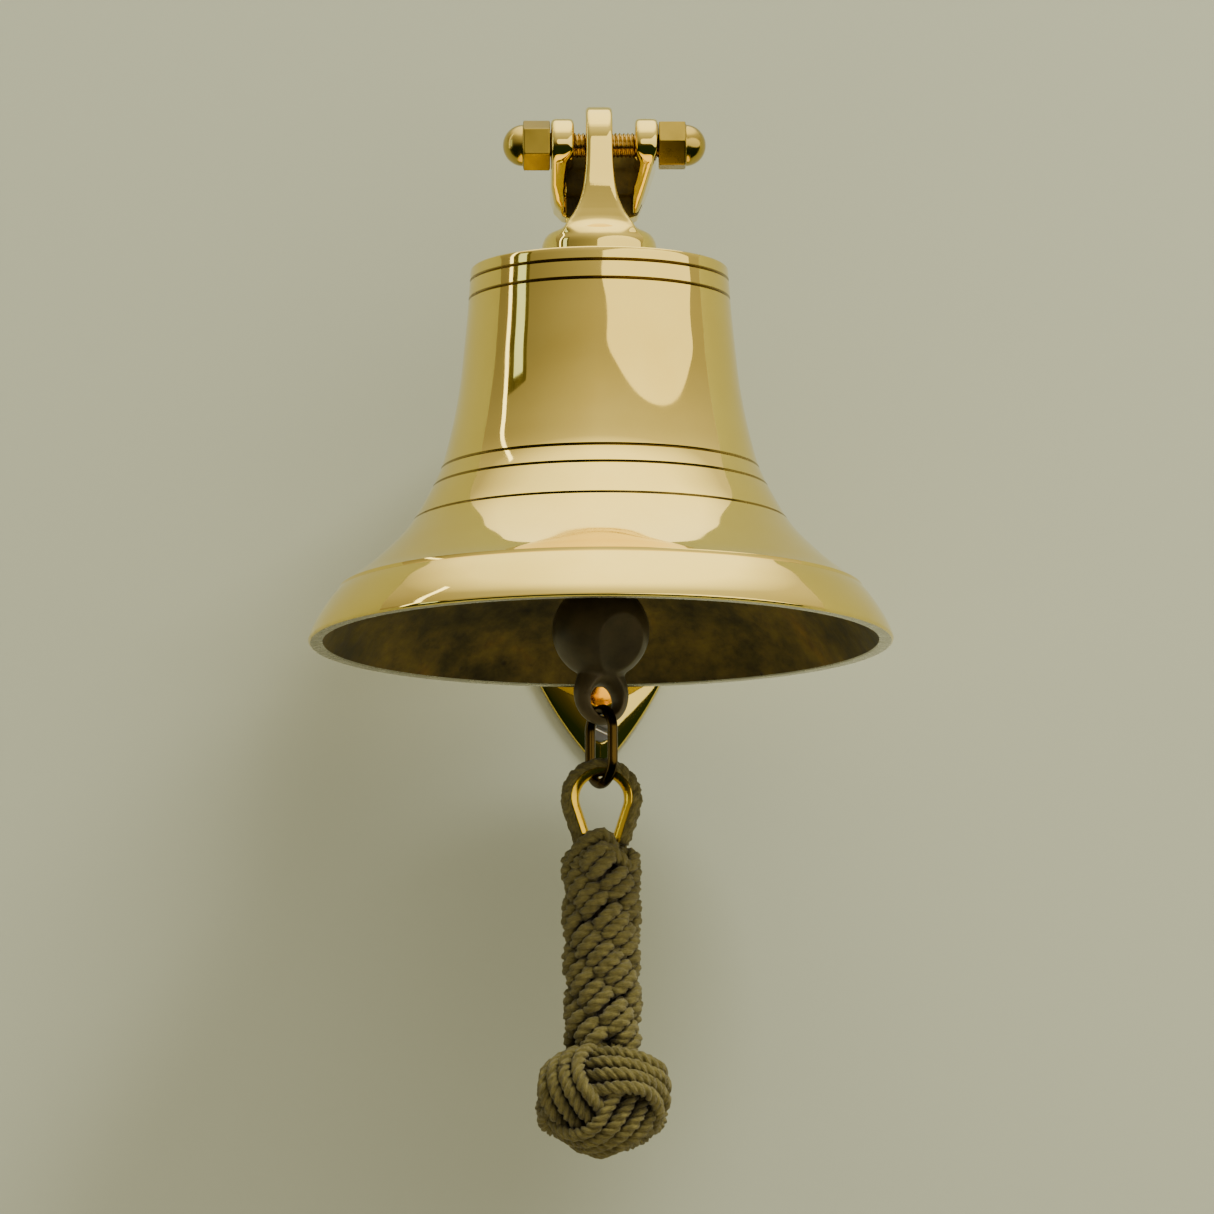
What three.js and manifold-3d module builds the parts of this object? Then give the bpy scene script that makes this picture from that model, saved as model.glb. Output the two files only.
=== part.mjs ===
// A wall-mounted ship bell: bracket, bell, clapper and bell rope, 178 mm across the mouth.
// Millimetres, +Z up. The origin is the middle of the wall plate's back face, +Y points into
// the wall, and the bell hangs in front of the plate, towards -Y.
import * as THREE from "three";
import { mergeVertices } from "three/addons/utils/BufferGeometryUtils.js";
import Module from "manifold-3d";

const wasm = await Module();
wasm.setup();

// ---------------------------------------------------------------- driving dimensions
const GAP = 0.3; // between pieces that touch
const PIVOT_Y = -115; // the bell's own axis, in front of the wall
const PIVOT_Z = 94.8; // the stud that the bell swings on, above the plate's middle
const PIVOT_HEIGHT = 153.8; // the stud above the bell's mouth
const BELL_X = -1.7; // the bell hangs nearer the left ear of the fork

const PLATE = { halfLength: 81.3, halfWidth: 32, flat: 3, bevel: 2 };
const SCREW = { radius: 2, headRadius: 4.2, headDepth: 2.4, length: 28, holeRadius: 2.5 };
const SCREW_PLACES = { lower: [0, -68.7], left: [-19, 18], right: [19, 18] };

const STUD_RADIUS = 4; // M8
const STUD_HALF_LENGTH = 26.5;
const FORK = { halfGap: 9.3, outer: 16.3, earRadius: 8.2, floor: -16, bottom: -19.5, back: 29 };
const NUT = { acrossFlats: 13.5, hexLength: 8.2, domeLength: 6.2, bore: 11.2 };

const LUG = { thickness: 8.2, topRadius: 11.8, footHalfWidth: 11.2, footHalfDepth: 14.5 };
const BOSS = { radius: 17.5, height: 11.8, edge: 2.6 };
const CROWN = { outside: 115.4, inside: 110.4, holeRadius: 5.6 };
const MOUNT_STUD = { radius: 5.2, bottom: 98.9 };

const WASHER = { radius: 13, thickness: 1.5 };
const CROWN_NUT = { acrossFlats: 17, thickness: 5 };
const CLEVIS = { bodyRadius: 8.6, bodyHeight: 6, halfSlot: 3.1, cheek: 4, cheekRadius: 5.6 };
const CLAPPER_PIVOT = 91; // above the mouth, as every height on the bell's axis is
const CLAPPER_PIN = { radius: 2.5, headRadius: 4, headLength: 1.6, endX: 11.4, crossX: 9.4 };

const BALL = { radius: 14.75, height: 3.6, boreDepth: 12 };
const SHANK = { topRadius: 3.1, bottomRadius: 3.9, eyeRadius: 5.5, eyeHalfWidth: 2.7 };
const TAIL = { height: -16.1, radius: 9.2, halfDepth: 5, holeHeight: -17.9, holeRadius: 4.6 };
const TAIL_TURN = THREE.MathUtils.degToRad(30); // the tail's eye faces front and right

const LINK = { wireRadius: 1.6, bendRadius: 6.6, topCentre: -27.2, bottomCentre: -36.6 };
const THIMBLE = { openRadius: 6.5, channelRadius: 3.5, wall: 0.75, leftLeg: 9.2, rightLeg: 12 };
const THIMBLE_TAPER = THREE.MathUtils.degToRad(18); // how far each leg leans inwards
const ROPE_RADIUS = 2.45;
const EYE_ROPE_LEG = 11.5;

const SENNIT = { radius: 12.4, top: -63.2, bottom: -121.6, edge: 4 };
const HEART_RADIUS = 4.2; // the rope core that the sennit is worked round
const KNOB = { radius: 20.8, halfHeight: 18, height: -138.9, coreRadius: 11 };

// ---------------------------------------------------------------- materials
const finish = (color, roughness, metalness) =>
  new THREE.MeshStandardMaterial({ color, roughness, metalness });
const polishedBrass = finish(0xdccb8e, 0.08, 1);
const nutBrass = finish(0xb98a36, 0.16, 1);
const brightBrass = finish(0xe0a92e, 0.14, 1);
const studBrass = finish(0xa8862f, 0.3, 1);
const darkBronze = finish(0x3f3424, 0.45, 1);
const steel = finish(0x77766f, 0.35, 1);
const leather = finish(0x4a2f1d, 0.8, 0);
const hemp = finish(0x8d7a4e, 0.95, 0);
const wood = finish(0x9b7b50, 0.7, 0);

// ---------------------------------------------------------------- solids
// A closed geometry as a solid, its faces turned outwards.
function solid(geometry) {
  const loose = geometry.index ? geometry.toNonIndexed() : geometry;
  const bare = new THREE.BufferGeometry();
  bare.setAttribute("position", loose.getAttribute("position"));
  const merged = mergeVertices(bare, 1e-3);
  const corners = merged.index.array;
  const triangles = [];
  for (let i = 0; i < corners.length; i += 3) {
    const [a, b, c] = [corners[i], corners[i + 1], corners[i + 2]];
    if (a !== b && b !== c && c !== a) triangles.push(a, b, c);
  }
  const vertProperties = merged.getAttribute("position").array;
  const build = (list) =>
    new wasm.Manifold(
      new wasm.Mesh({ numProp: 3, vertProperties, triVerts: new Uint32Array(list) }),
    );
  const made = build(triangles);
  return made.volume() > 0 ? made : build(triangles.reverse());
}

function mesh(name, made, material) {
  const { vertProperties, triVerts } = made.getMesh();
  const geometry = new THREE.BufferGeometry();
  geometry.setAttribute("position", new THREE.BufferAttribute(vertProperties, 3));
  geometry.setIndex(new THREE.BufferAttribute(triVerts, 1));
  geometry.computeVertexNormals();
  const piece = new THREE.Mesh(geometry, material);
  piece.name = name;
  return piece;
}

// A profile of [radius, height] points turned about +Z.
function turned(profile, segments) {
  const points = profile.map(([r, h]) => new THREE.Vector2(r, h));
  return solid(new THREE.LatheGeometry(points, segments).rotateX(Math.PI / 2));
}

// The same profile turned about +X, with its heights running along +X.
function turnedAlongX(profile, segments) {
  const points = profile.map(([r, h]) => new THREE.Vector2(r, h));
  return solid(new THREE.LatheGeometry(points, segments).rotateZ(-Math.PI / 2));
}

function cylinderAlongX(radius, from, to, segments = 24) {
  const geometry = new THREE.CylinderGeometry(radius, radius, to - from, segments);
  return solid(geometry.rotateZ(-Math.PI / 2).translate((from + to) / 2, 0, 0));
}

function cylinderAlongZ(radius, from, to, segments = 24) {
  const geometry = new THREE.CylinderGeometry(radius, radius, to - from, segments);
  return solid(geometry.rotateX(Math.PI / 2).translate(0, 0, (from + to) / 2));
}

function block([x0, y0, z0], [x1, y1, z1]) {
  const geometry = new THREE.BoxGeometry(x1 - x0, y1 - y0, z1 - z0);
  return solid(geometry.translate((x0 + x1) / 2, (y0 + y1) / 2, (z0 + z1) / 2));
}

// An outline in X and Z, running from one depth to another along Y.
function slabAlongY(outline, from, to) {
  const geometry = new THREE.ExtrudeGeometry(outline, { depth: to - from, bevelEnabled: false });
  return solid(geometry.rotateX(Math.PI / 2).translate(0, to, 0));
}

// An outline in Y and Z, running from one place to another along X.
function slabAlongX(outline, from, to) {
  const geometry = new THREE.ExtrudeGeometry(outline, { depth: to - from, bevelEnabled: false });
  return solid(geometry.rotateX(Math.PI / 2).rotateZ(Math.PI / 2).translate(from, 0, 0));
}

// An arc of points [r, h] about a centre, for the profiles of turned pieces.
function arc([r, h], radius, fromDegrees, toDegrees, steps) {
  const at = (i) => THREE.MathUtils.degToRad(fromDegrees + ((toDegrees - fromDegrees) * i) / steps);
  return Array.from({ length: steps + 1 }, (_, i) => [
    r + radius * Math.cos(at(i)),
    h + radius * Math.sin(at(i)),
  ]);
}

// A smooth line through [r, h] points, for the same.
function smooth(points, steps) {
  const curve = new THREE.SplineCurve(points.map(([r, h]) => new THREE.Vector2(r, h)));
  return curve.getSpacedPoints(steps).map(({ x, y }) => [x, y]);
}

function outlineOf(points) {
  return new THREE.Shape(points.map(([x, y]) => new THREE.Vector2(x, y)));
}

// ---------------------------------------------------------------- wall bracket
// The plate is a pointed oval: two equal arcs that meet at its upper and lower tips.
function plate() {
  const { halfLength, halfWidth, flat, bevel } = PLATE;
  const [l, w] = [halfLength - bevel, halfWidth - bevel];
  const radius = (l * l + w * w) / (2 * w);
  const sweep = THREE.MathUtils.radToDeg(Math.asin(l / radius));
  const side = arc([w - radius, 0], radius, -sweep, sweep, 16);
  const outline = outlineOf([...side, ...side.slice(1, -1).map(([x, z]) => [-x, -z])]);
  const geometry = new THREE.ExtrudeGeometry(outline, {
    depth: flat,
    bevelThickness: bevel,
    bevelSize: bevel,
    bevelSegments: 2,
  });
  const both = solid(geometry.rotateX(Math.PI / 2));
  return both.subtract(block([-60, 0, -120], [60, 20, 120]));
}

const PLATE_FACE = -(PLATE.flat + PLATE.bevel);

// A countersunk hole through the plate, drilled from its face.
function screwHole([x, z]) {
  const { holeRadius, headRadius, headDepth } = SCREW;
  const mouth = headRadius + GAP;
  const profile = [
    [0, -2],
    [holeRadius, -2],
    [holeRadius, -PLATE_FACE - headDepth],
    [mouth, -PLATE_FACE],
    [mouth, -PLATE_FACE + 2],
    [0, -PLATE_FACE + 2],
  ];
  return turned(profile, 20).rotate([90, 0, 0]).translate([x, 0, z]);
}

// A swan-necked arm: a round-cornered bar along a curve in Y and Z, flared where it meets
// the plate and widest where it opens into the fork.
function arm() {
  const path = new THREE.CubicBezierCurve(
    new THREE.Vector2(-1.5, 50),
    new THREE.Vector2(-44, 50),
    new THREE.Vector2(-50, PIVOT_Z - 10.6),
    new THREE.Vector2(PIVOT_Y + 22, PIVOT_Z - 10.6),
  );
  const geometry = new THREE.CylinderGeometry(1, 1, 1, 20, 16);
  const place = geometry.getAttribute("position");
  for (let i = 0; i < place.count; i += 1) {
    const t = THREE.MathUtils.clamp(place.getY(i) + 0.5, 0, 1);
    const flare = 7 * Math.exp(-11 * t);
    const halfWidth = 6.6 + 3.2 * t * t + flare;
    const halfHeight = 6.4 + 2.3 * t * t + flare;
    const reach = Math.hypot(place.getX(i), place.getZ(i));
    const angle = Math.atan2(place.getZ(i), place.getX(i));
    const squared = (v) => Math.sign(v) * Math.abs(v) ** 0.7;
    const across = reach * squared(Math.cos(angle)) * halfWidth;
    const up = reach * squared(Math.sin(angle)) * halfHeight;
    const at = path.getPoint(t);
    const along = path.getTangent(t);
    place.setXYZ(i, across, at.x + along.y * up, at.y - along.x * up);
  }
  return solid(geometry);
}

// The fork seen from the front, about the stud: thick ears, thinner arms and a floor.
function forkFront() {
  const { halfGap, outer, floor, bottom } = FORK;
  const top = 12;
  return outlineOf([
    [-outer, top],
    [-outer, -13],
    [-outer + 1.6, -16.6],
    [-outer + 5, bottom + 0.6],
    [-8.5, bottom],
    [7, bottom],
    [outer - 5.6, bottom + 1.8],
    [outer - 4, -13],
    [outer, -4],
    [outer, top],
    [halfGap, top],
    [halfGap, -4],
    [11.2, -6.5],
    [8.2, -13],
    [5.4, floor],
    [-9, floor],
    [-12, -13],
    [-12.2, -7],
    [-halfGap, -4.5],
    [-halfGap, top],
  ]);
}

// The fork seen from the side, about the stud: round ears whose arms fall back to the floor.
function forkSide() {
  const { earRadius, bottom, back } = FORK;
  return outlineOf([
    ...arc([0, 0], earRadius, 74, 232, 12),
    [15.5, bottom],
    [back, bottom + 0.6],
    [back, -2.4],
    [14, 4.4],
  ]);
}

function fork() {
  const { outer, bottom, halfGap, back } = FORK;
  const blank = slabAlongY(forkFront(), -20, back + 6)
    .intersect(slabAlongX(forkSide(), -outer - 5, outer + 5))
    .subtract(block([-halfGap + 0.4, -20, bottom - 5], [halfGap - 1.4, 15.5, -5]))
    .subtract(block([BELL_X - 10.5, -20, bottom - 5], [BELL_X + 10.5, 17.5, -12.5]))
    .subtract(cylinderAlongX(STUD_RADIUS + GAP, -outer - 5, outer + 5));
  return blank.translate([0, PIVOT_Y, PIVOT_Z]);
}

function wallBracket() {
  const holes = Object.values(SCREW_PLACES).map(screwHole);
  const wall = block([-60, 0, -120], [60, 20, 120]);
  const casting = plate().add(arm().subtract(wall)).add(fork());
  return holes.reduce((body, hole) => body.subtract(hole), casting);
}

// A countersunk wood screw with a slotted head, pointing into the wall.
function wallScrew([x, z]) {
  const { radius, headRadius, headDepth, length } = SCREW;
  const profile = [
    [0, 0],
    [headRadius, 0],
    [headRadius, -0.2],
    [radius, -headDepth],
    [radius, -length + 5],
    [0, -length],
  ];
  const slot = block([-headRadius - 1, -0.45, -1], [headRadius + 1, 0.45, 1]);
  const body = turned(profile, 16).subtract(slot.rotate([0, 0, 25]));
  return body.rotate([90, 0, 0]).translate([x, PLATE_FACE, z]);
}

// ---------------------------------------------------------------- stud and cap nuts
function pivotStud() {
  const chamfer = 0.8;
  const end = STUD_HALF_LENGTH;
  return turnedAlongX(
    [
      [0, -end],
      [STUD_RADIUS - chamfer, -end],
      [STUD_RADIUS, -end + chamfer],
      [STUD_RADIUS, end - chamfer],
      [STUD_RADIUS - chamfer, end],
      [0, end],
    ],
    24,
  );
}

// A hexagon bar along +X with its two ends turned to a chamfer.
function hexagonAlongX(acrossFlats, from, to, chamfer) {
  const corner = acrossFlats / 2 / Math.cos(Math.PI / 6);
  const limit = turnedAlongX(
    [
      [0, from],
      [corner - chamfer, from],
      [corner + 0.1, from + chamfer],
      [corner + 0.1, to - chamfer],
      [corner - chamfer, to],
      [0, to],
    ],
    24,
  );
  return cylinderAlongX(corner, from, to, 6).intersect(limit);
}

// A cap nut that screws on from the right, its dome outwards.
function capNut() {
  const { acrossFlats, hexLength, domeLength, bore } = NUT;
  const start = FORK.outer + GAP;
  const domeStart = start + hexLength;
  const domeRadius = acrossFlats / 2 - 0.4;
  const dome = turnedAlongX(
    [
      [0, domeStart - 1],
      [domeRadius, domeStart - 1],
      ...arc([0, 0], 1, 0, 90, 5).map(([r, h]) => [domeRadius * r, domeStart + domeLength * h]),
    ],
    24,
  );
  return hexagonAlongX(acrossFlats, start, domeStart, 0.7)
    .add(dome)
    .subtract(cylinderAlongX(STUD_RADIUS + GAP, start - 1, start + bore));
}

// ---------------------------------------------------------------- bell and its hanger
// The outside, from the crown's edge down the waist and the flare to the bead above the lip.
const OUTER_WAIST = [
  [39.4, 113.6],
  [40.2, 102],
  [41.4, 90],
  [42.5, 80],
  [44, 71],
  [46, 62],
  [48.6, 53],
  [53.3, 43.5],
  [58.5, 35],
  [66.8, 26.5],
  [74.7, 20],
  [80.4, 15.5],
];
const OUTER_LIP = [
  [80.4, 15.5],
  [83.3, 11],
  [87.4, 6],
  [89, 1.2],
];
const INNER_WALL = [
  [84.5, 0.4],
  [77.6, 11],
  [67, 21],
  [55.6, 32],
  [47.8, 44],
  [42.4, 60],
  [38.4, 80],
  [36.6, 97],
  [35, 106],
];

function bellBody() {
  const { outside, inside, holeRadius } = CROWN;
  const profile = [
    [holeRadius, outside],
    [37.4, outside],
    [38.9, outside - 0.5],
    ...smooth(OUTER_WAIST, 13),
    ...smooth(OUTER_LIP, 4).slice(1),
    [88.4, 0],
    [84.7, 0],
    ...smooth(INNER_WALL, 11),
    [31, inside],
    [holeRadius, inside],
    [holeRadius, outside],
  ];
  return turned(profile, 44);
}

// A casting: a flat lug with a round top, flared into a round boss, and a stud below.
function hangerLug() {
  const { thickness, topRadius, footHalfWidth, footHalfDepth } = LUG;
  const { radius, height, edge } = BOSS;
  const foot = CROWN.outside + GAP;
  const shoulder = foot + height;
  const axis = PIVOT_HEIGHT;
  const half = thickness / 2;
  const flare = smooth(
    [
      [half, axis - 4],
      [half + 0.9, axis - 11],
      [half + 2.6, axis - 17],
      [half + 4.6, axis - 20.5],
      [footHalfWidth, shoulder + 0.4],
      [footHalfWidth + 1.6, shoulder - 1.5],
    ],
    9,
  );
  const right = [[half, axis + topRadius + 1], ...flare];
  const front = outlineOf([...right, ...right.map(([x, z]) => [-x, z]).reverse()]);
  const back = smooth(
    [
      [topRadius, axis - 2],
      [topRadius, axis - 14],
      [topRadius + 1, axis - 20],
      [footHalfDepth, shoulder - 1],
    ],
    6,
  );
  const round = arc([0, axis], topRadius, 0, 180, 14);
  const side = outlineOf([
    ...back.slice(1).reverse(),
    ...round,
    ...back.slice(1).map(([y, z]) => [-y, z]),
  ]);
  const blade = slabAlongY(front, -30, 30).intersect(slabAlongX(side, -30, 30));
  const base = turned(
    [
      [0, MOUNT_STUD.bottom],
      [MOUNT_STUD.radius - 0.8, MOUNT_STUD.bottom],
      [MOUNT_STUD.radius, MOUNT_STUD.bottom + 0.8],
      [MOUNT_STUD.radius, foot],
      [radius, foot],
      ...arc([radius - edge, shoulder - edge], edge, 0, 90, 4),
      [0, shoulder],
    ],
    32,
  );
  const bore = cylinderAlongX(STUD_RADIUS + GAP, -20, 20).translate([0, 0, axis]);
  return blade.add(base).subtract(bore);
}

// ---------------------------------------------------------------- inside the crown
const WASHER_TOP = CROWN.inside - GAP;
const NUT_TOP = WASHER_TOP - WASHER.thickness - GAP;
const CLEVIS_TOP = NUT_TOP - CROWN_NUT.thickness - GAP;

function ring(outer, inner, bottom, top, segments) {
  const profile = [
    [inner, bottom],
    [outer, bottom],
    [outer, top],
    [inner, top],
    [inner, bottom],
  ];
  return turned(profile, segments);
}

function crownNut() {
  const corner = CROWN_NUT.acrossFlats / 2 / Math.cos(Math.PI / 6);
  const bottom = NUT_TOP - CROWN_NUT.thickness;
  return cylinderAlongZ(corner, bottom, NUT_TOP, 6).subtract(
    cylinderAlongZ(MOUNT_STUD.radius + GAP, bottom - 1, NUT_TOP + 1),
  );
}

// A round nut with two cheeks below it that hold the clapper's pin.
function clapperClevis() {
  const { bodyRadius, bodyHeight, halfSlot, cheek, cheekRadius } = CLEVIS;
  const under = CLEVIS_TOP - bodyHeight;
  const side = outlineOf([
    [cheekRadius, under + 0.5],
    ...arc([0, CLAPPER_PIVOT], cheekRadius, 0, -180, 10),
    [-cheekRadius, under + 0.5],
  ]);
  const reach = halfSlot + cheek;
  return cylinderAlongZ(bodyRadius, under, CLEVIS_TOP)
    .add(slabAlongX(side, -reach, -halfSlot))
    .add(slabAlongX(side, halfSlot, reach))
    .subtract(cylinderAlongZ(MOUNT_STUD.radius + GAP, MOUNT_STUD.bottom - GAP, CLEVIS_TOP + 1))
    .subtract(
      cylinderAlongX(CLAPPER_PIN.radius + GAP, -20, 20, 20).translate([0, 0, CLAPPER_PIVOT]),
    );
}

// A headed pin with a cross hole beyond the right cheek.
function clapperPin() {
  const { radius, headRadius, headLength, endX, crossX } = CLAPPER_PIN;
  const start = -CLEVIS.halfSlot - CLEVIS.cheek - GAP - headLength;
  return cylinderAlongX(radius, start, endX, 20)
    .add(cylinderAlongX(headRadius, start, start + headLength, 20))
    .subtract(cylinderAlongZ(0.9, -10, 10, 10).translate([crossX, 0, 0]))
    .translate([0, 0, CLAPPER_PIVOT]);
}

// A split pin: a wire loop above the clapper's pin and its leg through the cross hole.
function splitPin() {
  const wire = 0.6;
  const loop = solid(new THREE.TorusGeometry(1.7, wire, 6, 12).rotateY(Math.PI / 2));
  return loop
    .translate([0, 0, CLAPPER_PIN.radius + 2.7])
    .add(cylinderAlongZ(wire, -5, CLAPPER_PIN.radius + 1.2, 8))
    .translate([CLAPPER_PIN.crossX, 0, CLAPPER_PIVOT]);
}

// ---------------------------------------------------------------- clapper
const BALL_TOP = BALL.height + BALL.radius;
const SHANK_END = BALL_TOP - BALL.boreDepth + GAP;

function clapperShank() {
  const { topRadius, bottomRadius, eyeRadius, eyeHalfWidth } = SHANK;
  const rod = turned(
    [
      [0, SHANK_END],
      [bottomRadius - 0.5, SHANK_END],
      [bottomRadius, SHANK_END + 0.5],
      [bottomRadius, BALL_TOP + 6],
      [topRadius, CLAPPER_PIVOT - eyeRadius],
      [topRadius * 0.8, CLAPPER_PIVOT - eyeRadius + 1.6],
      [0, CLAPPER_PIVOT - eyeRadius + 1.6],
    ],
    16,
  );
  const eye = cylinderAlongX(eyeRadius, -eyeHalfWidth, eyeHalfWidth);
  const hole = cylinderAlongX(CLAPPER_PIN.radius + GAP, -10, 10, 20);
  return eye.subtract(hole).translate([0, 0, CLAPPER_PIVOT]).add(rod);
}

// A ball with a flattened tail below it, pierced by an eye whose rims are worn round.
function clapperBall() {
  const { height, radius, halfDepth, holeHeight, holeRadius } = TAIL;
  const ball = solid(new THREE.SphereGeometry(BALL.radius, 24, 14).rotateX(Math.PI / 2));
  const bore = cylinderAlongZ(SHANK.bottomRadius + GAP, SHANK_END - GAP, BALL_TOP + 1, 20);
  const knob = new THREE.SphereGeometry(radius, 20, 12).scale(1, halfDepth / radius, 1);
  const rim = [-6, -4, -2, 0, 2, 4, 6];
  const hole = turned(
    [[0, -6], ...rim.map((a) => [holeRadius + 2 * (a / 4.5) ** 2, a]), [0, 6]],
    16,
  );
  const neck = new THREE.CylinderGeometry(7, 7.8, 8, 20).scale(1, 1, halfDepth / 7.8);
  const tail = solid(knob.translate(0, 0, height))
    .add(solid(neck.rotateX(Math.PI / 2).translate(0, 0, height + 6)))
    .subtract(hole.rotate([90, 0, 0]).translate([0, 0, holeHeight]))
    .rotate([0, 0, THREE.MathUtils.radToDeg(TAIL_TURN)]);
  return ball.translate([0, 0, BALL.height]).add(tail).subtract(bore);
}

// ---------------------------------------------------------------- link
// A round ring drawn out to a long oval, standing in the plane of the tail eye's axis.
function lanyardLink() {
  const { wireRadius, bendRadius, topCentre, bottomCentre } = LINK;
  const geometry = new THREE.TorusGeometry(bendRadius, wireRadius, 8, 24);
  const place = geometry.getAttribute("position");
  for (let i = 0; i < place.count; i += 1) {
    const centre = place.getY(i) > 1e-4 ? topCentre : bottomCentre;
    place.setY(i, place.getY(i) + centre);
  }
  geometry.rotateX(Math.PI / 2).rotateZ(Math.PI / 2 + TAIL_TURN);
  return solid(geometry);
}

// ---------------------------------------------------------------- bell rope
const EYE_CENTRE =
  LINK.bottomCentre - LINK.bendRadius + LINK.wireRadius + GAP - THIMBLE.openRadius;
const EYE_RADIUS = THIMBLE.openRadius + THIMBLE.channelRadius;

// The line round the eye: up one leg, over the crown and down the other, in X and Z.
class EyeLine extends THREE.Curve {
  constructor(leftLeg, rightLeg) {
    super();
    this.legs = [leftLeg, rightLeg];
    this.over = EYE_RADIUS * (Math.PI + 2 * THIMBLE_TAPER);
  }
  getPoint(t, target = new THREE.Vector3()) {
    const [leftLeg, rightLeg] = this.legs;
    const along = t * (leftLeg + this.over + rightLeg) - leftLeg;
    const onArc = THREE.MathUtils.clamp(along, 0, this.over);
    const angle = Math.PI + THIMBLE_TAPER - onArc / EYE_RADIUS;
    const beyond = along - onArc;
    return target.set(
      EYE_RADIUS * Math.cos(angle) + beyond * Math.sin(angle),
      0,
      EYE_CENTRE + EYE_RADIUS * Math.sin(angle) - beyond * Math.cos(angle),
    );
  }
}

function alongEye(section, leftLeg, rightLeg) {
  return solid(
    new THREE.ExtrudeGeometry(outlineOf(section), {
      steps: 20,
      extrudePath: new EyeLine(leftLeg, rightLeg),
    }),
  );
}

// A channel of brass, round in section and open outwards, with the rope lying in it.
function thimble() {
  const { channelRadius, wall, leftLeg, rightLeg } = THIMBLE;
  const section = [
    ...arc([0, 0], channelRadius, -95, 95, 7),
    ...arc([0, 0], channelRadius - wall, 95, -95, 7),
  ].map(([inwards, across]) => [across, -inwards]);
  return alongEye(section, leftLeg, rightLeg);
}

function eyeRope() {
  return alongEye(arc([0, 0], ROPE_RADIUS, 0, 315, 7), EYE_ROPE_LEG, EYE_ROPE_LEG);
}

// The worked cover: a round sleeve over the rope's heart.
function sennit() {
  const { radius, top, bottom, edge } = SENNIT;
  const inner = HEART_RADIUS + GAP;
  return turned(
    [
      [0, top],
      ...arc([radius - edge, top - edge], edge, 90, 0, 4),
      [radius, (top + bottom) / 2],
      ...arc([radius - 2, bottom + 2], 2, 0, -90, 3),
      [inner, bottom],
      [inner, top - edge],
      [0, top - edge],
    ],
    24,
  );
}

const KNOB_TOP = SENNIT.bottom - GAP;

function ropeHeart() {
  const top = SENNIT.top - SENNIT.edge - GAP;
  const bottom = KNOB.height + KNOB.coreRadius + GAP;
  return cylinderAlongZ(HEART_RADIUS, bottom, top, 16);
}

// The knob's cover: a flattened round knot with room inside for its wooden core.
function knobKnot() {
  const { radius, halfHeight, height, coreRadius } = KNOB;
  const outside = arc([0, 0], 1, -90, 90, 11)
    .map(([r, h]) => [radius * r, height + halfHeight * h])
    .filter(([, h]) => h < KNOB_TOP);
  const inner = HEART_RADIUS + GAP;
  const hollow = coreRadius + 3 * GAP;
  const mouth = THREE.MathUtils.radToDeg(Math.acos(inner / hollow));
  return turned(
    [...outside, [13.5, KNOB_TOP], [inner, KNOB_TOP], ...arc([0, height], hollow, mouth, -90, 6)],
    22,
  );
}

function knobCore() {
  const geometry = new THREE.SphereGeometry(KNOB.coreRadius, 14, 8);
  return solid(geometry.rotateX(Math.PI / 2)).translate([0, 0, KNOB.height]);
}

// ---------------------------------------------------------------- assembly
const shipBell = new THREE.Group();

const bracket = new THREE.Group();
bracket.add(mesh("wall_bracket", wallBracket(), polishedBrass));
for (const [side, place] of Object.entries(SCREW_PLACES)) {
  bracket.add(mesh(`wall_screw_${side}`, wallScrew(place), steel));
}
shipBell.add(bracket);

const axle = new THREE.Group();
axle.position.set(0, PIVOT_Y, PIVOT_Z);
axle.add(mesh("pivot_stud", pivotStud(), studBrass));
axle.add(mesh("cap_nut_right", capNut().rotate([30, 0, 0]), nutBrass));
axle.add(mesh("cap_nut_left", capNut().rotate([0, 0, 180]), nutBrass));
shipBell.add(axle);

const hanging = new THREE.Group();
hanging.position.set(BELL_X, PIVOT_Y, PIVOT_Z - PIVOT_HEIGHT);
hanging.add(mesh("hanger_lug", hangerLug(), polishedBrass));
hanging.add(mesh("bell_body", bellBody(), polishedBrass));
const washerHole = MOUNT_STUD.radius + GAP;
const washer = ring(WASHER.radius, washerHole, WASHER_TOP - WASHER.thickness, WASHER_TOP, 24);
hanging.add(mesh("crown_washer", washer, leather));
hanging.add(mesh("crown_nut", crownNut(), nutBrass));
hanging.add(mesh("clapper_clevis", clapperClevis(), nutBrass));
hanging.add(mesh("clapper_pin", clapperPin(), steel));
hanging.add(mesh("split_pin", splitPin(), steel));
hanging.add(mesh("clapper_shank", clapperShank(), darkBronze));
hanging.add(mesh("clapper_ball", clapperBall(), darkBronze));
hanging.add(mesh("lanyard_link", lanyardLink(), nutBrass));
hanging.add(mesh("thimble", thimble(), brightBrass));
hanging.add(mesh("lanyard_eye_rope", eyeRope(), hemp));
hanging.add(mesh("lanyard_heart", ropeHeart(), hemp));
hanging.add(mesh("lanyard_sennit", sennit(), hemp));
hanging.add(mesh("knob_core", knobCore(), wood));
hanging.add(mesh("lanyard_knob", knobKnot(), hemp));
shipBell.add(hanging);

export default shipBell;
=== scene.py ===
"""Looks of the wall-mounted ship bell: polished castings, laid rope and studio light."""
from math import asin, atan2, cos, pi, radians, sin, sqrt

import bmesh
import bpy
import numpy as np
from mathutils import Matrix, Vector


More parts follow.
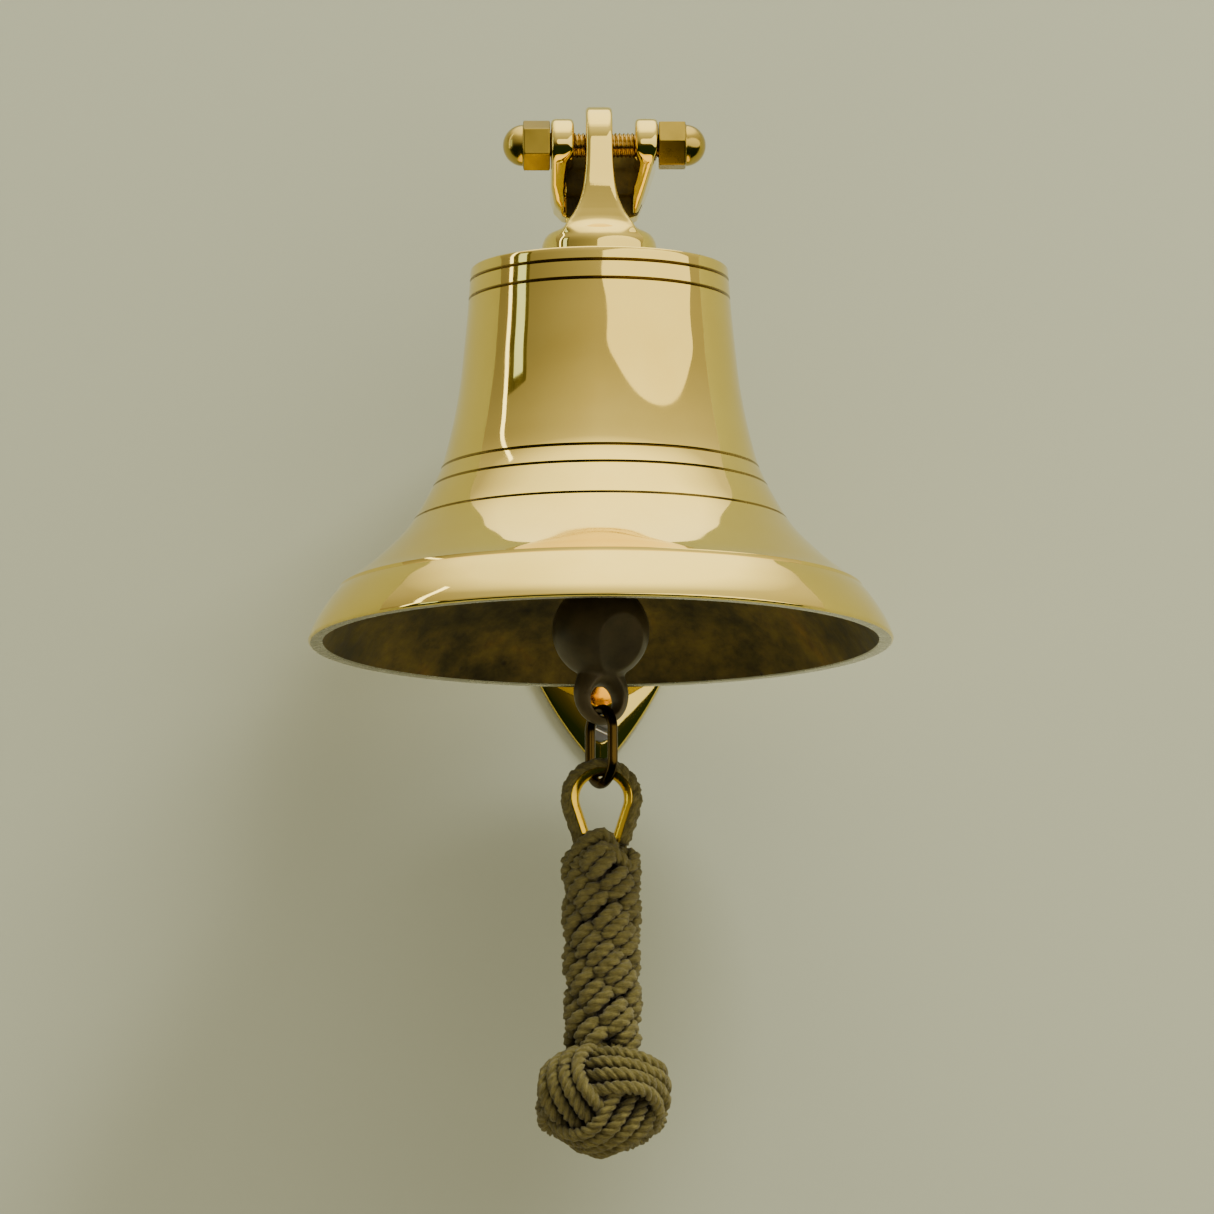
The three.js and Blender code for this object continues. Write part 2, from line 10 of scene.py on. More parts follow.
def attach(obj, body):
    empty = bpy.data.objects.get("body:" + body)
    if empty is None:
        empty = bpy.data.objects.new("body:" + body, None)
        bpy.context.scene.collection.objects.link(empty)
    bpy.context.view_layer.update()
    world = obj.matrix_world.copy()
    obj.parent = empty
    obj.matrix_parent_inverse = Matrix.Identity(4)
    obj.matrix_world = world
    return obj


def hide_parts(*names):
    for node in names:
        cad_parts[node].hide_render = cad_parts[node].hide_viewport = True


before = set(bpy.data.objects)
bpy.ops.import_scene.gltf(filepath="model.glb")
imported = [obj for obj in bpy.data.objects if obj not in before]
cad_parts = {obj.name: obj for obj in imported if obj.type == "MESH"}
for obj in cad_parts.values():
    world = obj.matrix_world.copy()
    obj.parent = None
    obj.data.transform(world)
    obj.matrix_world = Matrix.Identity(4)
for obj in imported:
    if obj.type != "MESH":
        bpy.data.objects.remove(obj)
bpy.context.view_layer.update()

# Shapes are worked out in millimetres in the part's frame; MM scales their meshes to metres.
MM = 0.001
TAU = 2 * pi
BELL_X, BELL_Y, MOUTH_Z = -1.7, -115.0, -59.0  # the bell's axis and its mouth plane
HANG = np.array([BELL_X, BELL_Y, MOUTH_Z])  # heights of hanging parts are above the mouth
STUD_Y, STUD_Z = -115.0, 94.8  # the stud that carries the bell
STUD_HEIGHT = 153.8  # the same stud, above the mouth
STUD_BORE = 4.3
PLATE_FACE = -5.0


# ---- camera
CAMERA_PLACE, CAMERA_TARGET = (-0.0732, -4.115, -0.694), (0.0002, -0.115, -0.048)
CAMERA_ROLL = radians(-0.25)
SENSOR_WIDTH, FOCAL_LENGTH = 36.0, 395.6
CLIP_START, CLIP_END = 0.05, 60.0


def aimed(data, place, target, roll=0.0):
    """Puts a camera or a lamp into the scene, looking from its place at the target."""
    thing = bpy.data.objects.new(data.name, data)
    bpy.context.scene.collection.objects.link(thing)
    thing.location = Vector(place)
    aim = (Vector(target) - Vector(place)).to_track_quat("-Z", "Y")
    thing.rotation_mode = "QUATERNION"
    thing.rotation_quaternion = aim @ Matrix.Rotation(roll, 3, "Z").to_quaternion()
    return thing


view = bpy.data.cameras.new("camera")
view.sensor_width, view.lens = SENSOR_WIDTH, FOCAL_LENGTH
view.clip_start, view.clip_end = CLIP_START, CLIP_END
bpy.context.scene.camera = aimed(view, CAMERA_PLACE, CAMERA_TARGET, CAMERA_ROLL)


# ---- mesh helpers
def add_mesh(name, points, faces, materials, face_slots=None, uvs=None, sharp=None):
    """A smooth-shaded mesh; edges sharper than the given degrees stay sharp."""
    mesh = bpy.data.meshes.new(name)
    mesh.from_pydata((np.asarray(points) * MM).tolist(), [], [list(map(int, f)) for f in faces])
    mesh.validate()
    for material in materials:
        mesh.materials.append(material)
    mesh.polygons.foreach_set("use_smooth", [True] * len(mesh.polygons))
    if face_slots is not None:
        mesh.polygons.foreach_set("material_index", np.asarray(face_slots, dtype=np.int32))
    if uvs is not None:
        layer = mesh.uv_layers.new(name="lay")
        layer.data.foreach_set("uv", np.asarray(uvs, dtype=np.float32).ravel())
    if sharp is not None:
        mesh.set_sharp_from_angle(angle=radians(sharp))
    mesh.update()
    piece = bpy.data.objects.new(name, mesh)
    bpy.context.scene.collection.objects.link(piece)
    return piece


def add_piece(name, body, node, slot, *shape, **details):
    """A mesh that rides on a body in place of a CAD node."""
    piece = add_mesh(name, *shape, **details)
    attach(piece, body)
    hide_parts(node)
    return piece


def fix_normals(piece):
    """Faces turned outwards; holes left at ends are closed."""
    shape = bmesh.new()
    shape.from_mesh(piece.data)
    open_edges = [e for e in shape.edges if e.is_boundary]
    if open_edges:
        bmesh.ops.holes_fill(shape, edges=open_edges, sides=0)
    bmesh.ops.recalc_face_normals(shape, faces=shape.faces)
    shape.to_mesh(piece.data)
    shape.free()


def blend(u, start, end, a, b):
    """a at the start, b at the end and a straight mix of the two between them."""
    return (end - u) / (end - start) * a + (u - start) / (end - start) * b


def spline(points, count, steps=24):
    """A centripetal Catmull-Rom line through the points, spaced evenly along its length."""
    p = np.asarray(points, dtype=float)
    p = np.vstack([2 * p[0] - p[1], p, 2 * p[-1] - p[-2]])
    line = []
    for i in range(1, len(p) - 2):
        t = [0.0]
        for k in (i - 1, i, i + 1):
            t.append(t[-1] + np.linalg.norm(p[k + 1] - p[k]) ** 0.5)
        u = np.linspace(t[1], t[2], steps, endpoint=i == len(p) - 3)[:, None]
        a1, a2, a3 = (blend(u, t[k], t[k + 1], p[i + k - 1], p[i + k]) for k in range(3))
        b1, b2 = blend(u, t[0], t[2], a1, a2), blend(u, t[1], t[3], a2, a3)
        line.append(blend(u, t[1], t[2], b1, b2))
    return even(np.vstack(line), count)


def steps_of(line):
    return np.linalg.norm(np.diff(line, axis=0), axis=1)


def length_of(line):
    return float(steps_of(line).sum())


def distances(line):
    """How far along the line each of its points lies."""
    return np.concatenate([[0], np.cumsum(steps_of(line))])


def even(line, count):
    """The same line with its points spaced evenly."""
    along = distances(line)
    at = np.linspace(0, along[-1], count)
    return np.stack([np.interp(at, along, line[:, c]) for c in range(line.shape[1])], axis=1)


def units(vectors):
    return vectors / np.linalg.norm(vectors, axis=1, keepdims=True)


def arc(radius, start, end, steps, centre=(0, 0)):
    a = np.radians(np.linspace(start, end, steps))
    return np.stack([centre[0] + radius * np.cos(a), centre[1] + radius * np.sin(a)], axis=1)


def ring_faces(rings, section, closed, flipped=False):
    """Quads between rings of points; closed joins the last ring to the first."""
    faces = []
    for i in range(rings if closed else rings - 1):
        a, b = i * section, (i + 1) % rings * section
        for j in range(section):
            k = (j + 1) % section
            quad = (a + j, b + j, b + k, a + k) if flipped else (a + j, a + k, b + k, b + j)
            faces.append(quad)
    return faces


def end_faces(rings, section):
    """One face over the first ring and one over the last."""
    return [tuple(range(section))[::-1], tuple((rings - 1) * section + j for j in range(section))]


def grid(x, y, z):
    """Rings of points from the grids of their coordinates."""
    return np.stack(np.broadcast_arrays(x, y, z), axis=2).reshape(-1, 3)


def frames_along(line, closed=False):
    """Unit tangents and two normals that turn as little as they can along the line."""
    if closed:
        tangents = units(np.roll(line, -1, axis=0) - np.roll(line, 1, axis=0))
    else:
        tangents = units(np.gradient(line, axis=0))
    start = np.cross(tangents[0], (0.0, 0.0, 1.0) if abs(tangents[0][2]) < 0.9 else (1.0, 0, 0))
    normals = [start / np.linalg.norm(start)]
    for t in tangents[1:]:
        n = normals[-1] - t * normals[-1].dot(t)
        normals.append(n / np.linalg.norm(n))
    normals = np.array(normals)
    return normals, np.cross(tangents, normals)


def circles(angles, n, b):
    """Unit vectors at the angles about each point of a line."""
    return np.cos(angles)[..., None] * n[:, None] + np.sin(angles)[..., None] * b[:, None]


PLIES = 3
FUZZ = 0.075  # how far fibres stand off a rope, as a share of its radius
END_TAPER = 0.55
LAY_UNIT = 10  # millimetres of rope in one unit of the lay's coordinates
FIBRE_NOISE = np.random.default_rng(11).normal(size=40000).clip(-1.6, 1.6)


def laid_tube(line, radius, pitch, phase, step, section=18, crease=0.24, closed=False):
    """Three plies twisted together: points, faces and the lay's own coordinates."""
    if closed:
        line = np.vstack([line, line[:1]])
    total = length_of(line)
    line = even(line, max(8, int(total / step)) + 1)
    turns = total / pitch
    shift = 0  # how far the closing ring is turned against the first
    if closed:
        line = line[:-1]
        n, b = frames_along(line, True)
        last = frames_along(np.vstack([line, line[:1]]))[0][-1]
        drift = atan2(np.dot(last, b[0]), np.dot(last, n[0]))
        turns = round(turns * PLIES) / PLIES - drift / TAU
        shift = section // PLIES * int(round(turns * PLIES + drift * PLIES / TAU))
    else:
        n, b = frames_along(line)
    rings = len(line)
    gaps = rings if closed else rings - 1
    local = np.arange(section) * TAU / section
    lobe = np.abs(np.cos(PLIES / 2 * local)) ** 0.6
    r = radius * (1 - crease + crease * lobe)
    along = np.arange(rings) / gaps
    angle = local[None] + phase + TAU * turns * along[:, None]
    fuzz = FIBRE_NOISE[: rings * section].reshape(rings, section) * FUZZ * radius
    points = line[:, None] + (r[None] + fuzz)[..., None] * circles(angle, n, b)
    if not closed:
        for end in (0, -1):
            points[end] = line[end] + END_TAPER * (points[end] - line[end])
    faces, uvs = [], []
    twist = pitch / (TAU * radius)
    for i in range(gaps):
        a, c = i * section, (i + 1) % rings * section
        turned = shift if c == 0 else 0
        u0, u1 = i / rings * total / LAY_UNIT, (i + 1) / rings * total / LAY_UNIT
        for j in range(section):
            k = (j + 1) % section
            faces.append((a + j, a + k, c + (k + turned) % section, c + (j + turned) % section))
            v0, v1 = j / section, (j + 1) / section
            corners = ((u0, v0), (u0, v1), (u1, v1), (u1, v0))
            uvs += [(u, v + u * twist) for u, v in corners]
    if not closed:
        faces += end_faces(rings, section)
        uvs += [(0.0, 0.0)] * (2 * section)
    return points.reshape(-1, 3), faces, uvs


def merged(parts):
    """Several (points, faces, uvs) as one."""
    points, faces, uvs, start = [], [], [], 0
    for p, f, u in parts:
        points.append(p)
        faces += [tuple(start + i for i in face) for face in f]
        uvs += u
        start += len(p)
    return np.vstack(points), faces, uvs


# ---- solids as distance fields
def smax(a, b, k):
    """The larger of two fields, rounded over k where they meet."""
    h = np.clip(0.5 + 0.5 * (a - b) / k, 0, 1)
    return b + (a - b) * h + k * h * (1 - h)


def smin(a, b, k):
    return -smax(-a, -b, k)


def polygon_distance(outline, x, y):
    """Signed distance to a closed outline, negative inside."""
    outline = np.asarray(outline, dtype=float)
    x, y = np.broadcast_arrays(x, y)
    nearest = np.full(x.shape, 1e9)
    inside = np.zeros(x.shape, dtype=bool)
    for (ax, ay), (bx, by) in zip(outline, np.roll(outline, -1, axis=0)):
        ex, ey = bx - ax, by - ay
        wx, wy = x - ax, y - ay
        t = np.clip((wx * ex + wy * ey) / max(ex * ex + ey * ey, 1e-12), 0, 1)
        nearest = np.minimum(nearest, (wx - ex * t) ** 2 + (wy - ey * t) ** 2)
        if ay != by:
            inside ^= ((ay > y) != (by > y)) & (x < ex * (y - ay) / (by - ay) + ax)
    return np.where(inside, -1, 1) * np.sqrt(nearest)


def gradient_of(field, points, e=0.05):
    slopes = [field(*(points + d).T) - field(*(points - d).T) for d in e * np.eye(3)]
    return np.stack(slopes, axis=1) / (2 * e)


def about(middle, reach):
    return middle - reach, middle + reach


def surface_of(field, spans, step):
    """The field's zero surface within three spans, as quads with their points moved onto it."""
    low, high = np.asarray(spans, float).T
    counts = np.ceil((high - low) / step).astype(int) + 1
    axes = [low[i] + step * np.arange(counts[i]) for i in range(3)]
    values = field(axes[0][:, None, None], axes[1][None, :, None], axes[2][None, None, :])
    values = np.broadcast_to(values, counts).astype(np.float32)
    inside = values < 0
    total = np.zeros(counts - 1, dtype=np.int8)
    for corner in np.ndindex(2, 2, 2):
        total += inside[tuple(slice(d, n - 1 + d) for d, n in zip(corner, counts))]
    cells = np.argwhere((total > 0) & (total < 8))
    number = np.full(counts - 1, -1, dtype=np.int64)
    number[tuple(cells.T)] = np.arange(len(cells))
    summed = np.zeros((len(cells), 3))
    hits = np.zeros(len(cells))
    for axis in range(3):
        for corner in np.ndindex(2, 2):
            start, end = np.insert(corner, axis, 0), np.insert(corner, axis, 1)
            va = values[tuple((cells + start).T)]
            vb = values[tuple((cells + end).T)]
            crossed = (va < 0) != (vb < 0)
            t = np.where(crossed, va / np.where(crossed, va - vb, 1), 0)
            summed += (start + t[:, None] * (end - start)) * crossed[:, None]
            hits += crossed
    points = low + step * (cells + summed / hits[:, None])
    for _ in range(3):
        gradient = gradient_of(field, points)
        size = np.maximum((gradient**2).sum(axis=1), 0.05)
        move = -field(*points.T)[:, None] * gradient / size[:, None]
        points += np.clip(move, -step / 2, step / 2)
    faces = []
    for axis, (u, v) in enumerate([(1, 2), (2, 0), (0, 1)]):
        a = np.take(inside, range(counts[axis] - 1), axis=axis)
        b = np.take(inside, range(1, counts[axis]), axis=axis)
        edges = np.argwhere(a != b)
        edges = edges[(edges[:, u] > 0) & (edges[:, v] > 0)]
        edges = edges[(edges[:, u] < counts[u] - 1) & (edges[:, v] < counts[v] - 1)]
        out = a[tuple(edges.T)]
        across, up = np.eye(3, dtype=int)[[u, v]]
        corners = (-across - up, -up, 0, -across)
        quads = np.stack([number[tuple((edges + c).T)] for c in corners], axis=1)
        quads[~out] = quads[~out][:, ::-1]
        faces.append(quads)
    return points, np.vstack(faces)


# ---- materials
BLACK, WHITE = (0, 0, 0), (1, 1, 1)


class Nodes:
    """The node tree of a material or the world, and the few nodes that its pattern needs."""

    def __init__(self, owner, shader="Principled BSDF", place="Object"):
        owner.use_nodes = True
        self.owner = owner
        self.tree = owner.node_tree
        self.shader = self.tree.nodes[shader]
        self.place = self.out(place, "TexCoord")

    def feed(self, socket, value):
        """Links an output to the socket, or sets it to a number, a vector or a colour."""
        if isinstance(value, bpy.types.NodeSocket):
            self.tree.links.new(value, socket)
        elif socket.type == "RGBA" and len(value) == 3:
            socket.default_value = (*value, 1)
        else:
            socket.default_value = value

    def fill(self, node, inputs):
        for name, value in inputs.items():
            self.feed(node.inputs[name.replace("_", " ")], value)

    def node(self, kind, **inputs):
        made = self.tree.nodes.new("ShaderNode" + kind)
        self.fill(made, inputs)
        return made

    def out(self, output, kind, **inputs):
        return self.node(kind, **inputs).outputs[output]

    def set(self, **inputs):
        self.fill(self.shader, inputs)

    def stretched(self, scale, source=None):
        return self.out("Vector", "Mapping", Scale=scale, Vector=source or self.place)

    def noise(self, scale, detail=3.0, roughness=0.5, distortion=0.0, at=None):
        grain = dict(Scale=scale, Detail=detail, Roughness=roughness, Distortion=distortion)
        return self.out("Fac", "TexNoise", Vector=at or self.place, **grain)

    def cells(self, scale):
        return self.out("Distance", "TexVoronoi", Scale=scale, Vector=self.place)

    def ramp(self, source, stops):
        made = self.node("ValToRGB", Fac=source)
        elements = made.color_ramp.elements
        while len(elements) < len(stops):
            elements.new(0.5)
        for element, (position, color) in zip(elements, stops):
            element.position = position
            element.color = (*color, 1)
        return made.outputs["Color"]

    def range(self, source, low, high, start=0.0, end=1.0):
        spans = {"From Min": start, "From Max": end, "To Min": low, "To Max": high}
        return self.out("Result", "MapRange", Value=source, **spans)

    def mix(self, fac, a, b, blend_type="MIX"):
        made = self.node("Mix")
        made.data_type, made.blend_type = "RGBA", blend_type
        for socket, value in ((0, fac), (6, a), (7, b)):
            self.feed(made.inputs[socket], value)
        return made.outputs[2]

    def bump(self, source, strength, distance, under=None):
        """Bumps the shader's normal, on top of another bump where one is given."""
        made = self.node("Bump", Strength=strength, Distance=distance, Height=source)
        if under is not None:
            self.feed(made.inputs["Normal"], under)
        self.set(Normal=made.outputs["Normal"])
        return made.outputs["Normal"]

    def mottle(self, grain, dark, light, speckle, low, high, top=0.7, metallic=0.0):
        """Two tones by one pattern, and a roughness between low and high by another."""
        tones = self.ramp(grain, [(0.3, dark), (top, light)])
        self.set(Base_Color=tones, Roughness=self.range(speckle, low, high), Metallic=metallic)


def pattern(name):
    return Nodes(bpy.data.materials.new(name))


def brass(name, light, deep, rough, wave=0.0001, spots=0.5):
    """Polished cast brass: a faint cloudiness, hand-polished waves, hairlines and tiny pits."""
    n = pattern(name)
    cloud = n.ramp(n.noise(22, 4, 0.6), [(0.35, light), (0.75, deep)])
    pits = n.ramp(n.cells(260), [(0.0, (0.22, 0.13, 0.05)), (0.045, WHITE)])
    rare = n.ramp(n.noise(35, 2), [(0.62, BLACK), (0.72, (spots,) * 3)])
    pitted = n.mix(rare, cloud, n.mix(1.0, cloud, pits, "MULTIPLY"))
    haze = n.range(n.noise(60, 5, 0.65), rough * 0.6, rough * 1.7, 0.3, 0.7)
    n.set(Metallic=1.0, Base_Color=pitted, Roughness=haze)
    waves = n.bump(n.noise(26, 1.0), 0.35, wave)
    n.bump(n.noise(1500, 2, at=n.stretched((1, 1, 0.06))), 0.03, 0.00003, waves)
    return n.owner


def patina():
    """The bell's inside: brass left as cast, dull olive brown with rusty pits."""
    n = pattern("cast_patina")
    fine = n.noise(170, 6, 0.7)
    browns = [
        (0.28, (0.034, 0.027, 0.005)),
        (0.45, (0.095, 0.072, 0.012)),
        (0.58, (0.165, 0.12, 0.02)),
        (0.72, (0.24, 0.128, 0.022)),
    ]
    base = n.ramp(n.noise(28, 5, 0.62, 0.4), browns)
    grains = n.ramp(fine, [(0.3, (0.35, 0.33, 0.3)), (0.7, (1.25, 1.2, 1.0))])
    tinted = n.mix(0.85, base, grains, "MULTIPLY")
    pit = n.ramp(n.cells(190), [(0.05, WHITE), (0.22, BLACK)])
    patch = n.ramp(n.noise(34, 2), [(0.55, BLACK), (0.63, (0.8, 0.8, 0.8))])
    where = n.mix(1.0, pit, patch, "MULTIPLY")
    pitted = n.mix(where, tinted, (0.012, 0.008, 0.004))
    n.set(Metallic=0.45, Base_Color=pitted, Roughness=n.range(fine, 0.42, 0.75))
    rough = n.bump(fine, 0.5, 0.0005)
    n.bump(where, 0.8, 0.0004, rough).node.invert = True
    return n.owner


def machined(name, color, rough, axis=(BELL_X, BELL_Y)):
    """Turned metal: fine rings about an upright axis."""
    n = pattern(name)
    centre = (-axis[0] * MM, -axis[1] * MM, 0)
    at = n.out("Vector", "Mapping", Vector=n.place, Location=centre)
    rings = n.node("TexWave", Scale=900, Distortion=0.6, Vector=at)
    rings.wave_type = "RINGS"
    rings.rings_direction = "Z"
    dull = tuple(c * 0.72 for c in color)
    n.mottle(n.noise(120, 4), color, dull, n.noise(240, 3), rough * 0.7, rough * 1.3, 0.8, 1.0)
    n.bump(rings.outputs["Fac"], 0.12, 0.00003)
    return n.owner


def bronze(name, dark, worn):
    """Brown-skinned bronze, a little brighter where it is rubbed."""
    n = pattern(name)
    n.mottle(n.noise(70, 5, 0.6), dark, worn, n.noise(150, 4), 0.315, 0.567, metallic=0.45)
    n.bump(n.noise(420, 4, 0.6), 0.16, 0.00012)
    return n.owner


def rope(name, dark, light):
    """Laid hemp: fibres that follow the lay, painted shade in the hollows, a little sheen."""
    n = pattern(name)
    crest = n.node("Attribute")
    crest.attribute_name = "crest"
    lay = n.node("UVMap")
    lay.uv_map = "lay"
    yarns = n.noise(1.0, 3, 0.6, at=n.stretched((3.0, 42.0, 1), lay.outputs["UV"]))
    fibres = n.noise(2.0, 4, 0.7, at=n.stretched((9.0, 150.0, 1), lay.outputs["UV"]))
    tone = n.ramp(n.noise(420, 5, 0.7), [(0.25, dark), (0.75, light)])
    streak = n.ramp(yarns, [(0.3, (0.5, 0.48, 0.42)), (0.62, (1.12, 1.1, 1.05))])
    hairs = n.ramp(fibres, [(0.35, (0.72, 0.7, 0.64)), (0.7, (1.15, 1.13, 1.1))])
    colored = n.mix(0.9, n.mix(0.9, tone, streak, "MULTIPLY"), hairs, "MULTIPLY")
    # painted shade: the crest attribute darkens the rope's hollows down to this dark brown
    depth = n.ramp(crest.outputs["Fac"], [(0.0, (0.16, 0.14, 0.1)), (1.0, WHITE)])
    n.set(Base_Color=n.mix(1.0, colored, depth, "MULTIPLY"), Roughness=0.92)
    n.set(Sheen_Weight=0.12, Sheen_Roughness=0.5, Specular_IOR_Level=0.2)
    n.bump(fibres, 0.6, 0.0002, n.bump(yarns, 0.8, 0.00045))
    return n.owner


def hide(name, dark, light):
    """Leather: mottled, and pebbled all over."""
    n = pattern(name)
    n.mottle(n.noise(90, 5), dark, light, n.noise(300, 3), 0.55, 0.85)
    n.bump(n.cells(900), 0.3, 0.0002)
    return n.owner


def core_rope(name, dark, light):
    """Rope under the worked cover: streaks that run upright."""
    n = pattern(name)
    streaks = n.noise(60, 4, 0.6, at=n.stretched((1, 1, 0.15)))
    n.mottle(streaks, dark, light, streaks, 0.5, 0.8)
    n.bump(streaks, 0.2, 0.0002)
    return n.owner


PALE_GOLD = brass("polished_brass", (0.86, 0.66, 0.155), (0.80, 0.59, 0.12), 0.04, 0.00035, 0.25)
NUT_GOLD = brass("nut_brass", (0.52, 0.38, 0.075), (0.38, 0.265, 0.045), 0.15)
# painted shade: a darker copy of the nut brass for the cap nuts' hexagon flats
HEX_SHADE_GOLD = brass("hexagon_brass", (0.27, 0.195, 0.03), (0.2, 0.14, 0.018), 0.3)
BRIGHT_GOLD = brass("bright_brass", (0.72, 0.47, 0.035), (0.55, 0.35, 0.02), 0.2, spots=0.1)
STUD_GOLD = brass("stud_brass", (0.50, 0.36, 0.11), (0.36, 0.25, 0.07), 0.22)
# painted shade: a darker brass for the faces of the V grooves round the bell
GROOVE_SHADE_GOLD = brass("groove_brass", (0.36, 0.25, 0.065), (0.20, 0.135, 0.035), 0.2)
# painted shade: brass darkened far below the other brass, standing in for the dark reflections on
# the link
LINK_SHADE_GOLD = brass("link_brass", (0.068, 0.042, 0.009), (0.036, 0.022, 0.005), 0.2)
PATINA = patina()
LIP_METAL = machined("turned_lip", (0.52, 0.49, 0.38), 0.28)
STEEL = machined("zinc_steel", (0.56, 0.57, 0.58), 0.3, (0.0, 0.0))
BRONZE = bronze("dark_bronze", (0.04, 0.032, 0.013), (0.10, 0.075, 0.03))
HEMP = rope("hemp_rope", (0.075, 0.066, 0.018), (0.22, 0.195, 0.062))
LEATHER = hide("washer_leather", (0.05, 0.025, 0.012), (0.12, 0.065, 0.03))
CORE = core_rope("core_cord", (0.06, 0.045, 0.02), (0.11, 0.08, 0.04))


# ---- bell rope
EYE_CENTRE, EYE_RADIUS, EYE_TAPER = -47.8, 10.0, radians(18)
EYE_LEG = 11.5
SENNIT_TOP = -68.5
SENNIT_STRANDS, SENNIT_LEVELS = 4, range(-4, 6)
LEVEL_RISE, LEVEL_TURN = 5.8, 38
OVER_BIGHT = [
    (-9.5, -1.5, -68.5), (-7.5, -4.8, -64.5), (-3.5, -6.3, -60.9), (0.3, -6.4, -59.9),
    (2.6, -5.6, -62.4), (3.2, -3.4, -66.5),
]
UNDER_BIGHT = [
    (-8.6, -4.4, -70.0), (-4.5, -7.4, -66.6), (0.5, -8.0, -64.6), (4.6, -7.4, -66.4),
    (7.6, -5.0, -70.4),
]
KNOB_STRANDS, KNOB_GAP, KNOB_MIDDLE = 4, 4.0, 16.6
KNOB_SPIN, KNOB_NOD = radians(-5.0), radians(8)
KNOB_STRETCH = np.array([1.07, 1.03, 0.9])
KNOB_CENTRE = HANG + (0, 0, -138.9)


def eye_line(left_leg, right_leg, count):
    """Up one leg, over the eye's crown and down the other."""
    over = EYE_RADIUS * (pi + 2 * EYE_TAPER)
    line = []
    for along in np.linspace(-left_leg, over + right_leg, count):
        on_arc = min(max(along, 0.0), over)
        angle = pi + EYE_TAPER - on_arc / EYE_RADIUS
        beyond = along - on_arc
        x = EYE_RADIUS * cos(angle) + beyond * sin(angle)
        z = EYE_CENTRE + EYE_RADIUS * sin(angle) - beyond * cos(angle)
        line.append((x, 0.0, z))
    return np.array(line) + HANG


def rope_piece(name, node, made):
    points, faces, uvs = made
    return add_piece(name, "lanyard", node, "hemp_rope", points, faces, [HEMP], uvs=uvs)


def points_of(piece):
    points = np.empty(len(piece.data.vertices) * 3, dtype=np.float32)
    piece.data.vertices.foreach_get("co", points)
    return points.reshape(-1, 3) / MM


def paint_hollow_shade(piece, reach, dark, light):
    """A point attribute for the rope material's painted shade: 0 in the hollows, painted darkest,
    1 on the crests.
    """
    crest = np.clip((reach - dark) / (light - dark), 0, 1)
    crest = crest * crest * (3 - 2 * crest)
    layer = piece.data.attributes.new("crest", "FLOAT", "POINT")
    layer.data.foreach_set("value", crest.astype(np.float32))


def hang_eye_rope():
    line = eye_line(EYE_LEG, EYE_LEG, 40)
    made = laid_tube(line, 2.45, 11.0, 0.0, 0.45, section=24)
    piece = rope_piece("eye_rope", "lanyard_eye_rope", made)
    # one even value over the whole eye rope: a slight even darkening, no painted shade in its
    # hollows
    paint_hollow_shade(piece, np.full(len(made[0]), 1.0), 0.0, 1.3)
    return piece, line


def work_sennit():
    """Crowned bights of a doubled strand: each climbs to the right and dives under the next."""
    rng = np.random.default_rng(5)
    parts = []
    t = np.linspace(-1, 1, 40)
    for level in SENNIT_LEVELS:
        for strand in range(SENNIT_STRANDS):
            turn = -37 + LEVEL_TURN * level + 90 * strand
            middle = radians(turn + rng.uniform(-3, 3))
            height = -91.9 - LEVEL_RISE * level + rng.uniform(-0.35, 0.35)
            climb = radians(39 + rng.uniform(-4, 4))
            crest = 10.1 + rng.uniform(-0.35, 0.35)
            for twin in (-1, 1):
                along = t * (6.2 + 0.3 * twin)
                apart = twin * 2.05 * (1 - 0.45 * t**4)
                across = along * cos(climb) + apart * sin(climb)
                rise = along * sin(climb) - apart * cos(climb)
                radius = crest - 5.2 * np.abs(t) ** 3.2 + 0.25 * twin * t
                angle = middle + across / 10.0
                path = [radius * np.sin(angle), -radius * np.cos(angle), height + rise]
                path = np.stack(path, axis=1) + HANG
                phase = rng.uniform(0, TAU)
                parts.append(laid_tube(path, 2.2, 8.4, phase, 0.6, crease=0.28))
    for bight in (OVER_BIGHT, UNDER_BIGHT):
        for half in (1, -1):
            path = spline([(half * x, half * y, z) for x, y, z in bight], 60) + HANG
            parts.append(laid_tube(path, 2.3, 8.4, half, 0.6, crease=0.28))
    piece = rope_piece("sennit", "lanyard_sennit", merged(parts))
    x, y, z = points_of(piece).T
    above = np.clip(z - MOUTH_Z - SENNIT_TOP, 0.0, 4.5)  # the top counts as crests, so it gets no painted shade
    # painted shade: rope nearer the sennit's axis, in its hollows, is painted darker
    paint_hollow_shade(piece, np.hypot(x - BELL_X, y - BELL_Y) + 1.2 * above, 8.2, 11.2)
    return piece


def knob_turn():
    """Turns the knot so that one of its three-band corners faces the front, nodding down."""
    corner = np.array([1, 1, 1]) / sqrt(3)
    flat = np.array([1, -1, 0]) / sqrt(2)
    facing = np.array([0.0, -cos(KNOB_NOD), -sin(KNOB_NOD)])
    side = np.cross((0, 0, 1.0), facing)
    side /= np.linalg.norm(side)
    up = np.cross(facing, side)
    right = cos(KNOB_SPIN) * side + sin(KNOB_SPIN) * up
    above = -sin(KNOB_SPIN) * side + cos(KNOB_SPIN) * up
    third = np.cross(corner, flat)
    return np.outer(facing, corner) + np.outer(right, flat) + np.outer(above, third)


